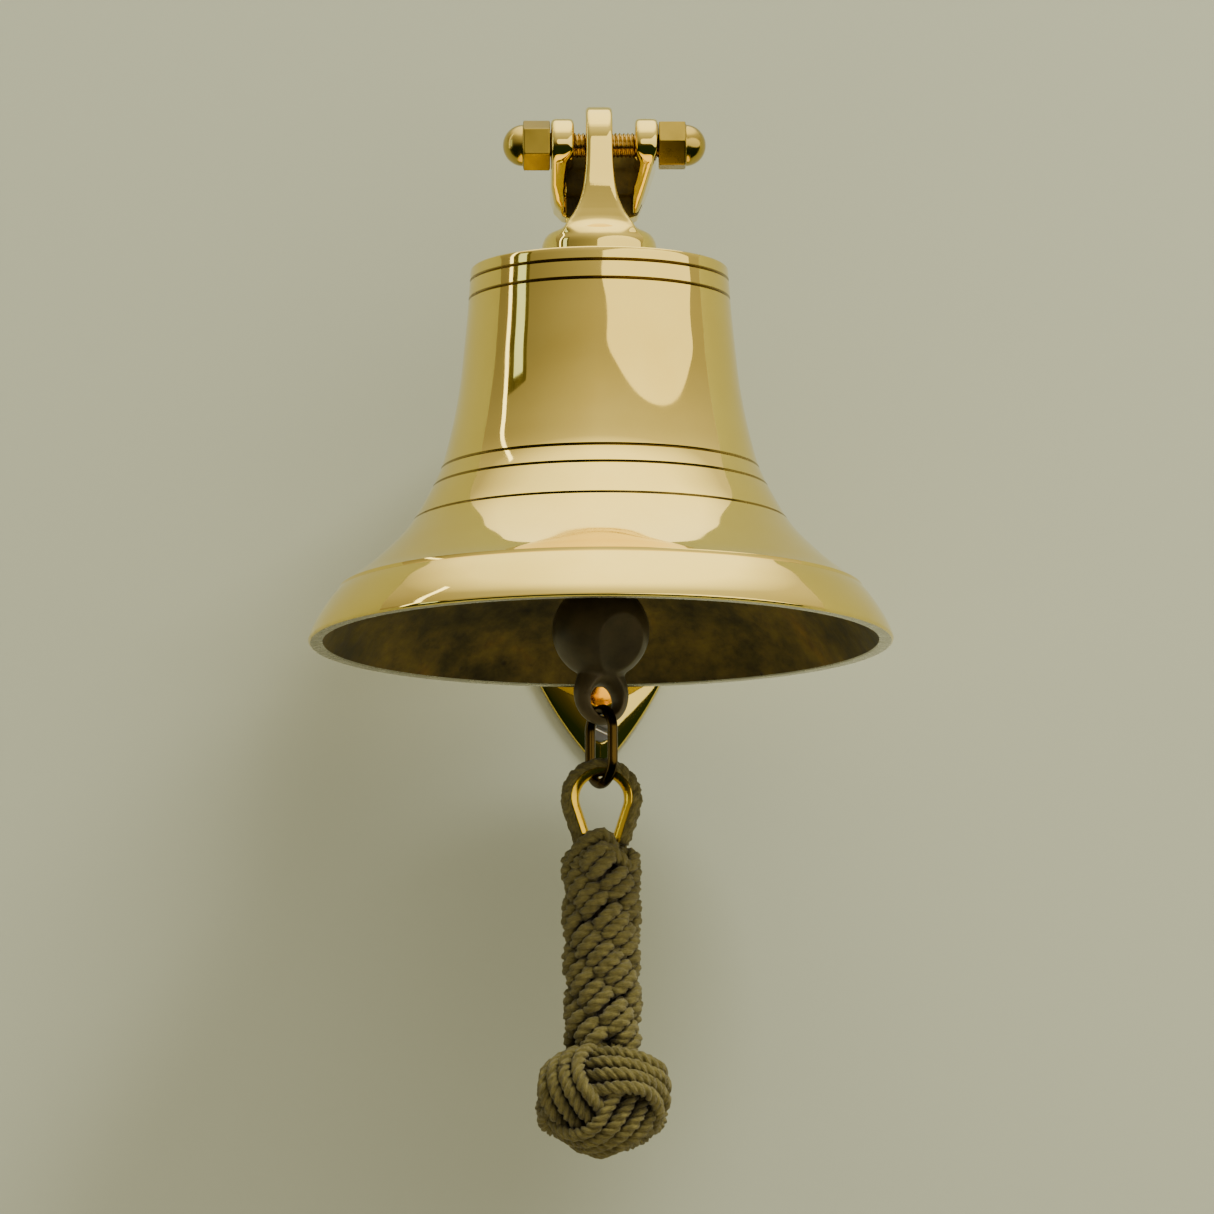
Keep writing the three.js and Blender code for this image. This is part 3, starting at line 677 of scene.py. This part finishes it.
def tie_knob():
    """A monkey's fist: three bands of strands about a ball, each over one and under the next."""
    turn = knob_turn()
    parts = []
    angle = np.linspace(0, TAU, 240, endpoint=False)
    for band in range(3):
        for i in range(KNOB_STRANDS):
            offset = (i - (KNOB_STRANDS - 1) / 2) * KNOB_GAP
            reach = KNOB_MIDDLE + 2.0 * np.cos(2 * angle)
            reach = reach + 0.35 * np.sin(5 * angle + 1.3 * i + 2.1 * band)
            spread = offset * (1 + 0.24 * np.sin(2 * angle) ** 2)
            ring = np.sqrt(np.maximum(reach**2 - (0.9 * spread) ** 2, 1))
            line = np.stack([spread, ring * np.cos(angle), ring * np.sin(angle)], axis=1)
            line = (np.roll(line, -band, axis=1) @ turn.T) * KNOB_STRETCH + KNOB_CENTRE
            parts.append(laid_tube(line, 2.15, 8.0, band + i, 0.8, crease=0.34, closed=True))
    piece = rope_piece("knob_knot", "lanyard_knob", merged(parts))
    # painted shade: rope nearer the knob's centre, in the hollows between strands, is painted
    # darker
    out = np.linalg.norm((points_of(piece) - KNOB_CENTRE) / KNOB_STRETCH, axis=1)
    paint_hollow_shade(piece, out, 15.2, 19.4)
    return piece


def lip_point(p, q):
    """The round end of the channel's wall, between its two faces."""
    return (p + q) / 2 + 0.2 * np.array([-(p - q)[1], (p - q)[0]]) / 0.75


def press_thimble():
    """A bright channel bent round the inside of the rope's eye."""
    line = eye_line(9.2, 12.0, 110)
    across = np.array([0.0, 1.0, 0.0])
    inward = np.cross(across, units(np.gradient(line, axis=0)))
    narrow = np.array([1.0, 0.84])
    outer = arc(3.25, -72, 72, 25) * narrow
    inner = arc(2.6, 72, -72, 25) * narrow
    ends = lip_point(outer[-1], inner[0]), lip_point(inner[-1], outer[0])
    section = np.vstack([outer, [ends[0]], inner, [ends[1]]])
    points = line[:, None] + section[:, :1] * inward[:, None] + section[:, 1:] * across
    shape = points.reshape(-1, 3), ring_faces(len(line), len(section), False), [BRIGHT_GOLD]
    piece = add_piece("thimble_channel", "lanyard", "thimble", "bright_brass", *shape, sharp=40)
    fix_normals(piece)
    return piece


eye_rope, eye_path = hang_eye_rope()
sennit = work_sennit()
knob = tie_knob()
thimble = press_thimble()


# ---- bell
# Profiles are [radius, height above the mouth].
OUTER_WAIST = [
    (39.3, 114.5), (39.6, 110.5), (40.2, 102), (41.4, 90), (42.5, 80), (44, 71), (46, 62),
    (48.6, 53), (53.3, 43.5), (58.5, 35), (66.4, 26.7), (73.2, 20.9), (77.2, 17.9), (79.7, 16.4),
]
CREASE = [(79.8, 15.9), (80.0, 15.35)]
OUTER_LIP = [(80.5, 15.1), (82.5, 12.7), (84.7, 9.5), (86.7, 6.2), (88.2, 3.1), (88.9, 1.0)]
FOOT = [(88.94, 0.7), (88.75, 0.35), (88.3, 0.06), (88.0, 0.0), (85.3, 0.0), (84.9, 0.06)]
INNER_WALL = [
    (84.5, 0.4), (77.6, 11), (67, 21), (55.6, 32), (47.8, 44), (42.4, 60), (38.4, 80),
    (36.6, 97), (35, 106),
]
INNER_CROWN = [(33.9, 108.6), (31.6, 110.2), (30.2, 110.4), (20, 110.4), (12, 110.4), (5.6, 110.4)]
CROWN = [
    (5.6, 115.4), (12, 115.4), (24, 115.4), (36.6, 115.4), (38.3, 115.38), (38.9, 115.22),
    (39.2, 114.9),
]
GROOVES = (111.2, 105.5, 53.0, 47.3, 36.9)
GROOVE_DEPTH, GROOVE_HALF = 0.55, 0.52
POLISHED, GROOVED, TURNED, AS_CAST = range(4)  # the bell's material slots


def smoothed(line, reach):
    """The line with its small wobbles averaged out; its ends stay."""
    weights = np.exp(-0.5 * (np.arange(-3 * reach, 3 * reach + 1) / reach) ** 2)
    weights /= weights.sum()
    pad = 3 * reach
    before = 2 * line[0] - line[1 : pad + 1][::-1]
    after = 2 * line[-1] - line[-pad - 1 : -1][::-1]
    full = np.vstack([before, line, after])
    soft = [np.convolve(full[:, c], weights, mode="valid") for c in range(line.shape[1])]
    return np.stack(soft, axis=1)


def engraved(line):
    """The outside with a V groove cut at each height in GROOVES; says which points are in one."""
    along = distances(line)
    cuts = [float(np.interp(-h, -line[:, 1], along)) for h in GROOVES]
    places = list(np.linspace(0, along[-1], 150))
    near_cut = (-1.0, -0.7, -GROOVE_HALF - 0.06, -GROOVE_HALF, -0.2, 0.0, 0.2)
    near_cut += (GROOVE_HALF, GROOVE_HALF + 0.06, 0.7, 1.0)
    for cut in cuts:
        places = [p for p in places if abs(p - cut) > 1.1]
        places += [cut + d for d in near_cut]
    places = np.sort(np.array(places))
    points = np.stack([np.interp(places, along, line[:, c]) for c in (0, 1)], axis=1)
    tangent = units(np.gradient(points, axis=0))
    inward = np.stack([tangent[:, 1], -tangent[:, 0]], axis=1)
    depth = np.zeros(len(places))
    for cut in cuts:
        depth = np.maximum(depth, GROOVE_DEPTH * (1 - np.abs(places - cut) / GROOVE_HALF))
    return points + inward * depth[:, None], depth > 0.02


def cast_bell():
    waist, in_groove = engraved(smoothed(spline(OUTER_WAIST, 700), 9))
    lip = smoothed(spline(OUTER_LIP, 60), 3)
    wall = smoothed(spline(INNER_WALL, 160), 5)[::2]
    profile = np.vstack([CROWN, waist, CREASE, lip, FOOT, wall, INNER_CROWN])
    kinds = [POLISHED] * len(CROWN) + [GROOVED if g else POLISHED for g in in_groove]
    kinds += [POLISHED] * (len(CREASE) + len(lip) + 2) + [TURNED] * (len(FOOT) - 2)
    kinds += [AS_CAST] * (len(wall) + len(INNER_CROWN))
    # faces in a groove take the darker groove brass: painted shade in the grooves
    slots = [GROOVED if GROOVED in pair else pair[0] for pair in zip(kinds, kinds[1:] + kinds[:1])]
    around = 180
    angles = np.arange(around) * TAU / around
    radius, height = profile[:, :1], profile[:, 1:]
    x, y = BELL_X + radius * np.cos(angles), BELL_Y + radius * np.sin(angles)
    shape = grid(x, y, MOUTH_Z + height), ring_faces(len(profile), around, True)
    shape += [PALE_GOLD, GROOVE_SHADE_GOLD, LIP_METAL, PATINA], np.repeat(slots, around)
    fix_normals(add_piece("bell", "bell", "bell_body", "polished_brass", *shape, sharp=12))


cast_bell()


# ---- bracket
HALF_LENGTH, HALF_WIDTH = 81.3, 32.0
OVAL_RADIUS = (HALF_LENGTH**2 + HALF_WIDTH**2) / (2 * HALF_WIDTH)
SCREW_PLACES = ((0.0, -68.7), (-19.0, 18.0), (19.0, 18.0))
ARM_KNOTS = ((1.0, 50.0), (-44.0, 50.0), (-50.0, 84.2), (-93.0, 84.2))  # Y and Z, a Bezier curve
ARM_STEPS = 60
FORK_FRONT = [
    (-16.3, 12), (-16.3, 2), (-16.3, -6), (-16.25, -12), (-15.2, -16), (-12.6, -18.6), (-9, -19.5),
    (0, -19.5), (7, -19.5), (10.4, -18.2), (12.2, -14), (14.4, -8), (16.1, -3), (16.3, 3),
    (16.3, 12), (9.3, 12), (9.3, -3), (10.6, -6.2), (9.6, -10), (8.0, -13.6), (5.4, -16),
    (-9, -16), (-11.4, -14.4), (-12.1, -11), (-11.4, -6), (-9.3, -3), (-9.3, 12),
]
FORK_BACK = [p for p in FORK_FRONT[:14] if p[1] < 4] + [(16.3, 6), (-16.3, 6)]
FORK_SIDE = [(15.5, -19.5), (29, -19.5), (29, -2.4), (14, 4.4)]
EAR_RADIUS = 8.2


def plate_field(x, y, z):
    """A pointed oval, crowned towards its edge, with three countersunk holes."""
    oval = np.hypot(np.abs(x) + OVAL_RADIUS - HALF_WIDTH, z) - OVAL_RADIUS
    crown = np.maximum(oval + 11.5, 0) ** 2 * 0.021
    body = smax(smax(oval, PLATE_FACE + crown - y, 1.1), y, 0.3)
    for sx, sz in SCREW_PLACES:
        out = np.hypot(x - sx, z - sz)
        hole = np.minimum(out - 2.5, 0.707 * (out - 4.7) + 0.707 * (y - PLATE_FACE))
        body = smax(body, -hole, 0.35)
    return body


def arm_line():
    line = []
    for t in np.linspace(0, 1, ARM_STEPS + 1):
        weights = ((1 - t) ** 3, 3 * t * (1 - t) ** 2, 3 * t * t * (1 - t), t**3)
        line.append([sum(w * k[c] for w, k in zip(weights, ARM_KNOTS)) for c in (0, 1)])
    return np.array(line)


ARM_LINE = arm_line()


def arm_field(x, y, z):
    """A square-shouldered bar along the swan neck, wider where it opens into the fork."""
    y, z = np.broadcast_arrays(y, z)
    best = np.full(y.shape, 1e9)
    along = np.zeros(y.shape)
    rise = np.zeros(y.shape)
    for i in range(ARM_STEPS):
        a, b = ARM_LINE[i], ARM_LINE[i + 1]
        e = b - a
        t = np.clip(((y - a[0]) * e[0] + (z - a[1]) * e[1]) / e.dot(e), 0, 1)
        dy, dz = y - a[0] - t * e[0], z - a[1] - t * e[1]
        d = dy * dy + dz * dz
        closer = d < best
        best = np.where(closer, d, best)
        along = np.where(closer, (i + t) / ARM_STEPS, along)
        up = (dz * -e[0] + dy * e[1]) / np.sqrt(e.dot(e))
        rise = np.where(closer, up, rise)
    half_width = 6.4 + 3.2 * along**2
    half_height = 6.3 + 2.3 * along**2
    past = np.sqrt(np.maximum(best - rise**2, 0))
    power = 2.8
    section = np.abs(x / half_width) ** power + np.abs(rise / half_height) ** power
    return np.maximum((section ** (1 / power) - 1) * half_width, past - 1.0)


def fork_field(x, y, z):
    """Two round ears and the floor between them, about the stud."""
    across, depth, up = x, y - STUD_Y, z - STUD_Z
    front = polygon_distance(FORK_FRONT, across, up)
    ears = [tuple(p) for p in arc(EAR_RADIUS, 74, 232, 24)]
    side = polygon_distance(ears + FORK_SIDE, depth, up)
    body = smax(front, side, 1.6)
    behind = smax(smax(polygon_distance(FORK_BACK, across, up), side, 1.6), 15.5 - depth, 1.0)
    body = np.minimum(body, behind)
    slot = np.maximum(np.abs(across - BELL_X) - 10.5, np.maximum(depth - 17.5, up + 12.5))
    body = smax(body, -slot, 0.8)
    floor_slot = np.maximum(np.abs(across + 0.5) - 8.4, np.maximum(depth - 15.5, up + 5))
    body = smax(body, -floor_slot, 0.8)
    return smax(body, STUD_BORE - np.hypot(depth, up), 0.5)


def neck_field(x, y, z):
    """The arm and the fork in one, flared where they meet the plate."""
    wall = y - PLATE_FACE
    arm = smin(arm_field(x, y, z), -wall, 9.0)
    joined = smin(arm, fork_field(x, y, z), 3.5)
    return np.maximum(joined, wall + 0.05)


def cast_bracket():
    kind = "bracket", "wall_bracket", "polished_brass"
    made = surface_of(plate_field, ((-33, 33), (-6, 1), (-82.3, 82.3)), 0.42)
    add_piece("bracket_plate", *kind, *made, [PALE_GOLD])
    points, faces = surface_of(neck_field, ((-20, 20), (-125, -4), (32, 108)), 0.55)
    centres = points[faces].mean(axis=1) - (0, STUD_Y, STUD_Z)
    # painted shade: faces at the back of the fork's throat take the dark as-cast patina material
    shaded_throat = (np.abs(centres[:, 0]) < 11.6) & (np.abs(centres[:, 1] - 16.3) < 1.9)
    shaded_throat &= centres[:, 2] < 6.0
    add_piece("bracket_neck", *kind, points, faces, [PALE_GOLD, PATINA], shaded_throat)


cast_bracket()


# ---- hanger, stud and nuts
LUG_SIDE = [(13.4, 122.0), (13.2, 128.0), (12.5, 133.0), (11.9, 140), (11.8, 147), (11.8, 153.8)]
LUG_FLARE = [
    (4.1, 167), (4.1, 151), (4.5, 143.3), (5.4, 137), (6.7, 133.2), (8.5, 129.8), (9.9, 128.0),
    (10.4, 122),
]
LUG_TOP_RADIUS = 11.8
BOSS_RADIUS, BOSS_TOP, BOSS_FOOT = 17.5, 127.3, 115.72
THREAD_PITCH, THREAD_HALF = 1.25, 26.5
NUT_HALF_FLATS, NUT_CORNER = 6.75, 7.35
NUT_MIDDLE, NUT_HALF = 20.7, 4.1
DOME_START, DOME_LENGTH, DOME_RADIUS = 24.8, 6.2, 6.35


def mirrored(side):
    """A closed outline from its right side."""
    return np.vstack([side, side[::-1] * (-1, 1)])


def lug_field(x, y, z):
    """A flat lug with a round top that flares into a round boss; its stud passes the crown."""
    across, depth, height = x - BELL_X, y - BELL_Y, z - MOUTH_Z
    out = np.hypot(across, depth)
    front = polygon_distance(mirrored(spline(LUG_FLARE, 26)), across, height)
    back = spline(LUG_SIDE, 20)
    top = arc(LUG_TOP_RADIUS, 0, 180, 40, (0, STUD_HEIGHT))[1:-1]
    side = polygon_distance(np.vstack([back, top, back[::-1] * (-1, 1)]), depth, height)
    blade = smax(smax(front, side, 1.5), 126.0 - height, 0.5)
    boss = smax(smax(out - BOSS_RADIUS, height - BOSS_TOP, 0.4), BOSS_FOOT - height, 0.3)
    boss = smax(boss, 0.6 * (out - BOSS_RADIUS) + 0.8 * (height - BOSS_TOP) + 2.3, 2.4)
    whole = smin(blade, boss, 2.8)
    stud = smax(smax(out - 5.2, 98.9 - height, 0.8), height - 117, 0.1)
    bore = STUD_BORE - np.hypot(depth, height - STUD_HEIGHT)
    return smax(np.minimum(whole, stud), bore, 0.4)


def cast_lug():
    made = surface_of(lug_field, (about(BELL_X, 18.5), about(BELL_Y, 18.5), (39, 108)), 0.42)
    add_piece("lug_casting", "bell", "hanger_lug", "polished_brass", *made, [PALE_GOLD])


def cut_stud():
    """M8 rod with a helical thread, chamfered at both ends."""
    around, rings = 48, int(2 * THREAD_HALF / THREAD_PITCH * 8) + 1
    x = np.linspace(-THREAD_HALF, THREAD_HALF, rings)
    angles = np.arange(around) * TAU / around
    phase = (x[:, None] / THREAD_PITCH - angles[None] / TAU) % 1.0
    ridge = np.clip(np.abs(phase - 0.5) * 2 * 1.25, 0.06, 1.0)
    chamfer = 3.1 + (THREAD_HALF - np.abs(x))[:, None]
    radius = np.minimum(3.96 - 0.62 * ridge, chamfer)
    y, z = STUD_Y + radius * np.cos(angles), STUD_Z + radius * np.sin(angles)
    faces = ring_faces(rings, around, False, flipped=True)
    faces += [face[::-1] for face in end_faces(rings, around)]
    shape = grid(x[:, None], y, z), faces, [STUD_GOLD]
    fix_normals(add_piece("threaded_stud", "axle", "pivot_stud", "stud_brass", *shape, sharp=60))


def nut_field(side, first_flat):
    """A cap nut on one side: a chamfered hexagon and a dome, bored for the stud."""

    def field(x, y, z):
        out, depth, up = side * x, y - STUD_Y, z - STUD_Z
        angles = [radians(60 * i + first_flat) for i in range(3)]
        flats = [np.abs(depth * cos(a) + up * sin(a)) - NUT_HALF_FLATS for a in angles]
        prism = smax(smax(flats[0], flats[1], 0.12), flats[2], 0.12)
        reach = np.hypot(depth, up)
        ends = np.abs(out - NUT_MIDDLE) - NUT_HALF
        cone = 0.5 * (reach - NUT_CORNER) + 0.866 * ends
        hexagon = smax(smax(prism, ends, 0.25), cone, 0.2)
        along = np.maximum(out - DOME_START, 0) / DOME_LENGTH
        dome = (np.sqrt((reach / DOME_RADIUS) ** 2 + along**2) - 1) * DOME_LENGTH
        dome = np.maximum(dome, 24.0 - out)
        bore = np.maximum(reach - STUD_BORE, out - 27.7)
        return smax(smin(hexagon, dome, 0.35), -bore, 0.2)

    return field


def turn_nut(side, first_flat, word):
    spans = sorted((side * 16.0, side * 31.6)), about(STUD_Y, 8.2), about(STUD_Z, 8.2)
    points, faces = surface_of(nut_field(side, first_flat), spans, 0.24)
    # the hexagon's faces take the darker copy of the nut brass: painted shade on the flats
    in_hexagon = side * points[faces, 0].mean(axis=1) < NUT_MIDDLE + NUT_HALF - 0.05
    shape = points, faces, [NUT_GOLD, HEX_SHADE_GOLD], in_hexagon
    add_piece("dome_nut_" + word, "axle", "cap_nut_" + word, "nut_brass", *shape)


cast_lug()
cut_stud()
turn_nut(1, 30, "right")
turn_nut(-1, 0, "left")


# ---- clapper and link
TAIL_TURN = radians(30)
BALL_RADIUS, BALL_HEIGHT = 14.75, 3.6
TAIL_HEIGHT, TAIL_RADIUS, TAIL_HALF = -16.1, 9.2, 5.0
TAIL_EYE, TAIL_EYE_HEIGHT = 4.6, -17.9
LINK_BEND, LINK_TOP, LINK_BOTTOM, LINK_WIRE = 6.6, -27.2, -36.6, 1.6


def clapper_field(x, y, z):
    """A ball with a flattened, pierced tail whose eye is worn round at both rims."""
    across, depth, height = x - BELL_X, y - BELL_Y, z - MOUTH_Z
    ball = np.sqrt(across**2 + depth**2 + (height - BALL_HEIGHT) ** 2) - BALL_RADIUS
    u = across * cos(TAIL_TURN) + depth * sin(TAIL_TURN)
    w = -across * sin(TAIL_TURN) + depth * cos(TAIL_TURN)
    up = height - TAIL_HEIGHT
    # An ellipsoid's distance, from its own equation and the size of that equation's slope.
    k0 = np.sqrt((u / TAIL_RADIUS) ** 2 + (w / TAIL_HALF) ** 2 + (up / TAIL_RADIUS) ** 2)
    k1 = np.sqrt((u / 84.6) ** 2 + (w / 25.0) ** 2 + (up / 84.6) ** 2)
    disc = k0 * (k0 - 1) / np.maximum(k1, 1e-6)
    neck = np.sqrt((u / 7.3) ** 2 + (w / 5.2) ** 2) - 1
    neck = np.maximum(neck * 5.2, np.abs(height + 10) - 5)
    body = smin(smin(disc, neck, 2.0), ball, 1.1)
    rim = TAIL_EYE + 2.0 * (w / 4.5) ** 2
    body = smax(body, rim - np.hypot(u, height - TAIL_EYE_HEIGHT), 0.6)
    bore = np.maximum(np.hypot(across, depth) - 4.2, 6.05 - height)
    return smax(body, -bore, 0.3)


def cast_clapper():
    spans = about(BELL_X, 15.5), about(BELL_Y, 15.5), (-86, -39.5)
    made = surface_of(clapper_field, spans, 0.42)
    add_piece("clapper_bob", "clapper", "clapper_ball", "dark_bronze", *made, [BRONZE])


def bend_link():
    """A long oval ring of round wire, across the tail."""
    flat = []
    for middle, start in ((LINK_TOP, 0), (LINK_BOTTOM, pi)):
        for a in np.linspace(start, start + pi, 40):
            flat.append((LINK_BEND * cos(a), middle + LINK_BEND * sin(a)))
    side = np.linspace(LINK_TOP, LINK_BOTTOM, 14)[1:-1]
    flat = flat[:40] + [(-LINK_BEND, h) for h in side] + flat[40:]
    flat += [(LINK_BEND, h) for h in side[::-1]]
    turn = pi / 2 + TAIL_TURN
    line = np.array([(u * cos(turn), u * sin(turn), h) for u, h in flat]) + HANG
    angles = np.arange(20)[None] * TAU / 20
    points = line[:, None] + LINK_WIRE * circles(angles, *frames_along(line, True))
    shape = points.reshape(-1, 3), ring_faces(len(line), 20, True), [LINK_SHADE_GOLD]
    fix_normals(add_piece("oval_link", "link", "lanyard_link", "nut_brass", *shape))


cast_clapper()
bend_link()


# ---- wall screws
HEAD_RADIUS, SHANK_RADIUS = 4.2, 2.0
SLOT_TURN, SLOT_HALF, SLOT_DEPTH = radians(25), 0.45, 1.0


def screw_field(sx, sz):
    """A countersunk wood screw with one slot, its head flush with the plate's face."""

    def field(x, y, z):
        out = np.hypot(x - sx, z - sz)
        deep = y - PLATE_FACE
        head = smax(0.82 * (out - HEAD_RADIUS) + 0.57 * deep, -deep, 0.15)
        head = smax(head, out - HEAD_RADIUS, 0.1)
        head = smax(head, deep - 2.5, 0.1)
        shank = smax(out - SHANK_RADIUS, 0.9 * deep + 0.4 * out - 25.0, 0.3)
        shank = np.maximum(shank, -deep + 0.4)
        slot = np.abs((x - sx) * sin(SLOT_TURN) + (z - sz) * cos(SLOT_TURN)) - SLOT_HALF
        slot = np.maximum(slot, deep - SLOT_DEPTH)
        return smax(np.minimum(head, shank), -slot, 0.12)

    return field


def drive_screw(word, sx, sz):
    made = surface_of(screw_field(sx, sz), (about(sx, 4.8), (-5.6, 23.6), about(sz, 4.8)), 0.3)
    add_piece("slotted_screw_" + word, "bracket", "wall_screw_" + word, "steel", *made, [STEEL])


for word, place in zip(("lower", "left", "right"), SCREW_PLACES):
    drive_screw(word, *place)


# ---- carried-over CAD nodes
CARRIED = {
    "crown_washer": LEATHER,
    "crown_nut": NUT_GOLD,
    "clapper_clevis": NUT_GOLD,
    "clapper_pin": STEEL,
    "split_pin": STEEL,
    "clapper_shank": BRONZE,
    "lanyard_heart": CORE,
    "knob_core": CORE,
}
for node, material in CARRIED.items():
    for slot in bpy.data.objects[node].material_slots:
        slot.material = material


# ---- studio
WALL_Y, WALL_INSET = 0.3, 1.5
WALL_SIDE, WALL_FOOT, WALL_TOP = 4000.0, -1600.0, 270.0
SCREEN_REACH, SCREEN_HEIGHTS = 2600.0, (-300, 1300)
SCREEN_SWEEP = radians(66), radians(86)  # from straight ahead, to the left
ROOM_FRONT = -9000
ROOM_TONES = [  # what the metal mirrors, from straight down to straight up
    (0.0, (0.014, 0.028, 0.012)),
    (0.38, (0.018, 0.032, 0.014)),
    (0.45, (0.085, 0.075, 0.032)),
    (0.5, (0.20, 0.165, 0.09)),
    (0.585, (0.50, 0.46, 0.34)),
    (0.71, (0.72, 0.66, 0.52)),
    (0.85, (1.15, 1.07, 0.88)),
    (0.93, (2.9, 2.7, 2.25)),
    (1.0, (3.1, 2.9, 2.45)),
]
BELL_MIDDLE = (0, -0.115, 0)
WARM_WHITE = (1.0, 0.98, 0.90)
FRAME_WHITE, SKY, AMBER = (1.0, 0.99, 0.95), (0.72, 0.90, 1.0), (1.0, 0.93, 0.78)
LAMPS = [  # name, place, target, size, watts, colour, whether the metal mirrors it
    ("window_frame", (-1.99, -0.24, 1.0), (0, -0.115, 1.0), (0.13, 2.6), 4.5, FRAME_WHITE, True),
    ("window", (-1.9, -0.66, 0.38), BELL_MIDDLE, (0.30, 1.0), 1.8, SKY, True),
    ("panel", (1.4, -1.6, 0.36), BELL_MIDDLE, (4.6, 1.75), 31, AMBER, True),
    ("key", (0.95, -1.3, 1.7), BELL_MIDDLE, (0.8, 0.5), 58, WARM_WHITE, False),
    ("top", (0.0, -1.4, 2.0), BELL_MIDDLE, (2.4, 1.2), 12, WARM_WHITE, False),
]


def matte(name, color, shade):
    """Flat paint, its deep tone darker by the shade's share."""
    n = pattern(name)
    deep = tuple(c * (1 - shade) for c in color)
    n.set(Base_Color=n.ramp(n.noise(1.3, 2), [(0.3, color), (0.7, deep)]))
    n.set(Roughness=0.9, Specular_IOR_Level=0.1)
    n.bump(n.noise(220, 3), 0.05, 0.0004)
    return n


def seen_from_the_front(n):
    """The wall is shown from the room's side only."""
    both = n.node("MixShader")
    n.feed(both.inputs[0], n.out("Backfacing", "NewGeometry"))
    n.feed(both.inputs[1], n.shader.outputs[0])
    n.feed(both.inputs[2], n.out("BSDF", "BsdfTransparent"))
    n.feed(n.tree.nodes["Material Output"].inputs["Surface"], both.outputs[0])
    return n.owner


def build_wall():
    """A wall with an opening behind the plate, a little smaller than the plate."""
    half, reach = HALF_WIDTH - WALL_INSET, HALF_LENGTH - WALL_INSET
    radius = (reach**2 + half**2) / (2 * half)
    sweep = asin(reach / radius)
    right = [
        (half - radius + radius * cos(a), radius * sin(a))
        for a in np.linspace(-sweep, sweep, 48)
    ]
    oval = right + [(-x, z) for x, z in right[::-1]][1:-1]
    outer = []
    for x, z in oval:
        angle = atan2(z, x)
        c, s = cos(angle), sin(angle)
        end = WALL_TOP if s > 0 else -WALL_FOOT
        scale = min(WALL_SIDE / max(abs(c), 1e-9), end / max(abs(s), 1e-9))
        outer.append((c * scale, s * scale))
    n = len(oval)
    points = [(x, WALL_Y, z) for x, z in oval + outer]
    faces = [(i, n + i, n + (i + 1) % n, (i + 1) % n) for i in range(n)]
    paint = seen_from_the_front(matte("wall_paint", (0.345, 0.368, 0.272), 0.03))
    wall = add_mesh("stage_wall", points, faces, [paint])
    wall.data.polygons.foreach_set("use_smooth", [False] * n)


def build_screen():
    """A dark screen beside the window, seen in the polished metal only."""
    n = pattern("screen_cloth")
    dusk = n.ramp(n.noise(2.0, 3), [(0.3, (0.10, 0.09, 0.03)), (0.7, (0.19, 0.17, 0.07))])
    n.set(Emission_Color=dusk, Emission_Strength=1.0)
    n.set(Base_Color=BLACK, Specular_IOR_Level=0.0)
    (near, far), (foot, top) = SCREEN_SWEEP, SCREEN_HEIGHTS
    corners = []
    for angle, z in ((near, foot), (far, foot), (far, top), (near, top)):
        x, y = -SCREEN_REACH * sin(angle), -115 - SCREEN_REACH * cos(angle)
        corners.append((x, y, z))
    screen = add_mesh("stage_screen", corners, [(0, 1, 2, 3)], [n.owner])
    screen.visible_camera = screen.visible_diffuse = screen.visible_shadow = False


def build_floor():
    side, front, foot = int(WALL_SIDE), ROOM_FRONT, int(WALL_FOOT)
    corners = [(-side, front, foot), (side, front, foot), (side, side, foot), (-side, side, foot)]
    paint = matte("floor_paint", (0.62, 0.59, 0.52), 0.05).owner
    floor = add_mesh("stage_floor", corners, [(0, 1, 2, 3)], [paint])
    floor.visible_glossy = False


def area_light(name, place, target, size, power, color, mirrored):
    lamp = bpy.data.lights.new(name, "AREA")
    lamp.shape = "ELLIPSE" if name == "panel" else "RECTANGLE"
    lamp.size, lamp.size_y = size
    lamp.energy, lamp.color = power, color
    light = aimed(lamp, place, target)
    light.visible_camera = False
    light.visible_glossy = mirrored


def light_room():
    """The room that the metal mirrors, dimmer to the left, and its lamps."""
    world = bpy.data.worlds.new("room")
    bpy.context.scene.world = world
    n = Nodes(world, "Background", "Generated")
    split = n.node("SeparateXYZ", Vector=n.place)
    tones = n.ramp(n.range(split.outputs["Z"], 0, 1, -1, 1), ROOM_TONES)
    dimmed = n.node("VectorMath")
    dimmed.operation = "SCALE"
    n.feed(dimmed.inputs[0], tones)
    n.feed(dimmed.inputs["Scale"], n.range(split.outputs["X"], 0.52, 1.0, -0.9, -0.05))
    n.set(Color=dimmed.outputs["Vector"], Strength=1.0)
    for lamp in LAMPS:
        area_light(*lamp)


build_wall()
build_screen()
build_floor()
light_room()
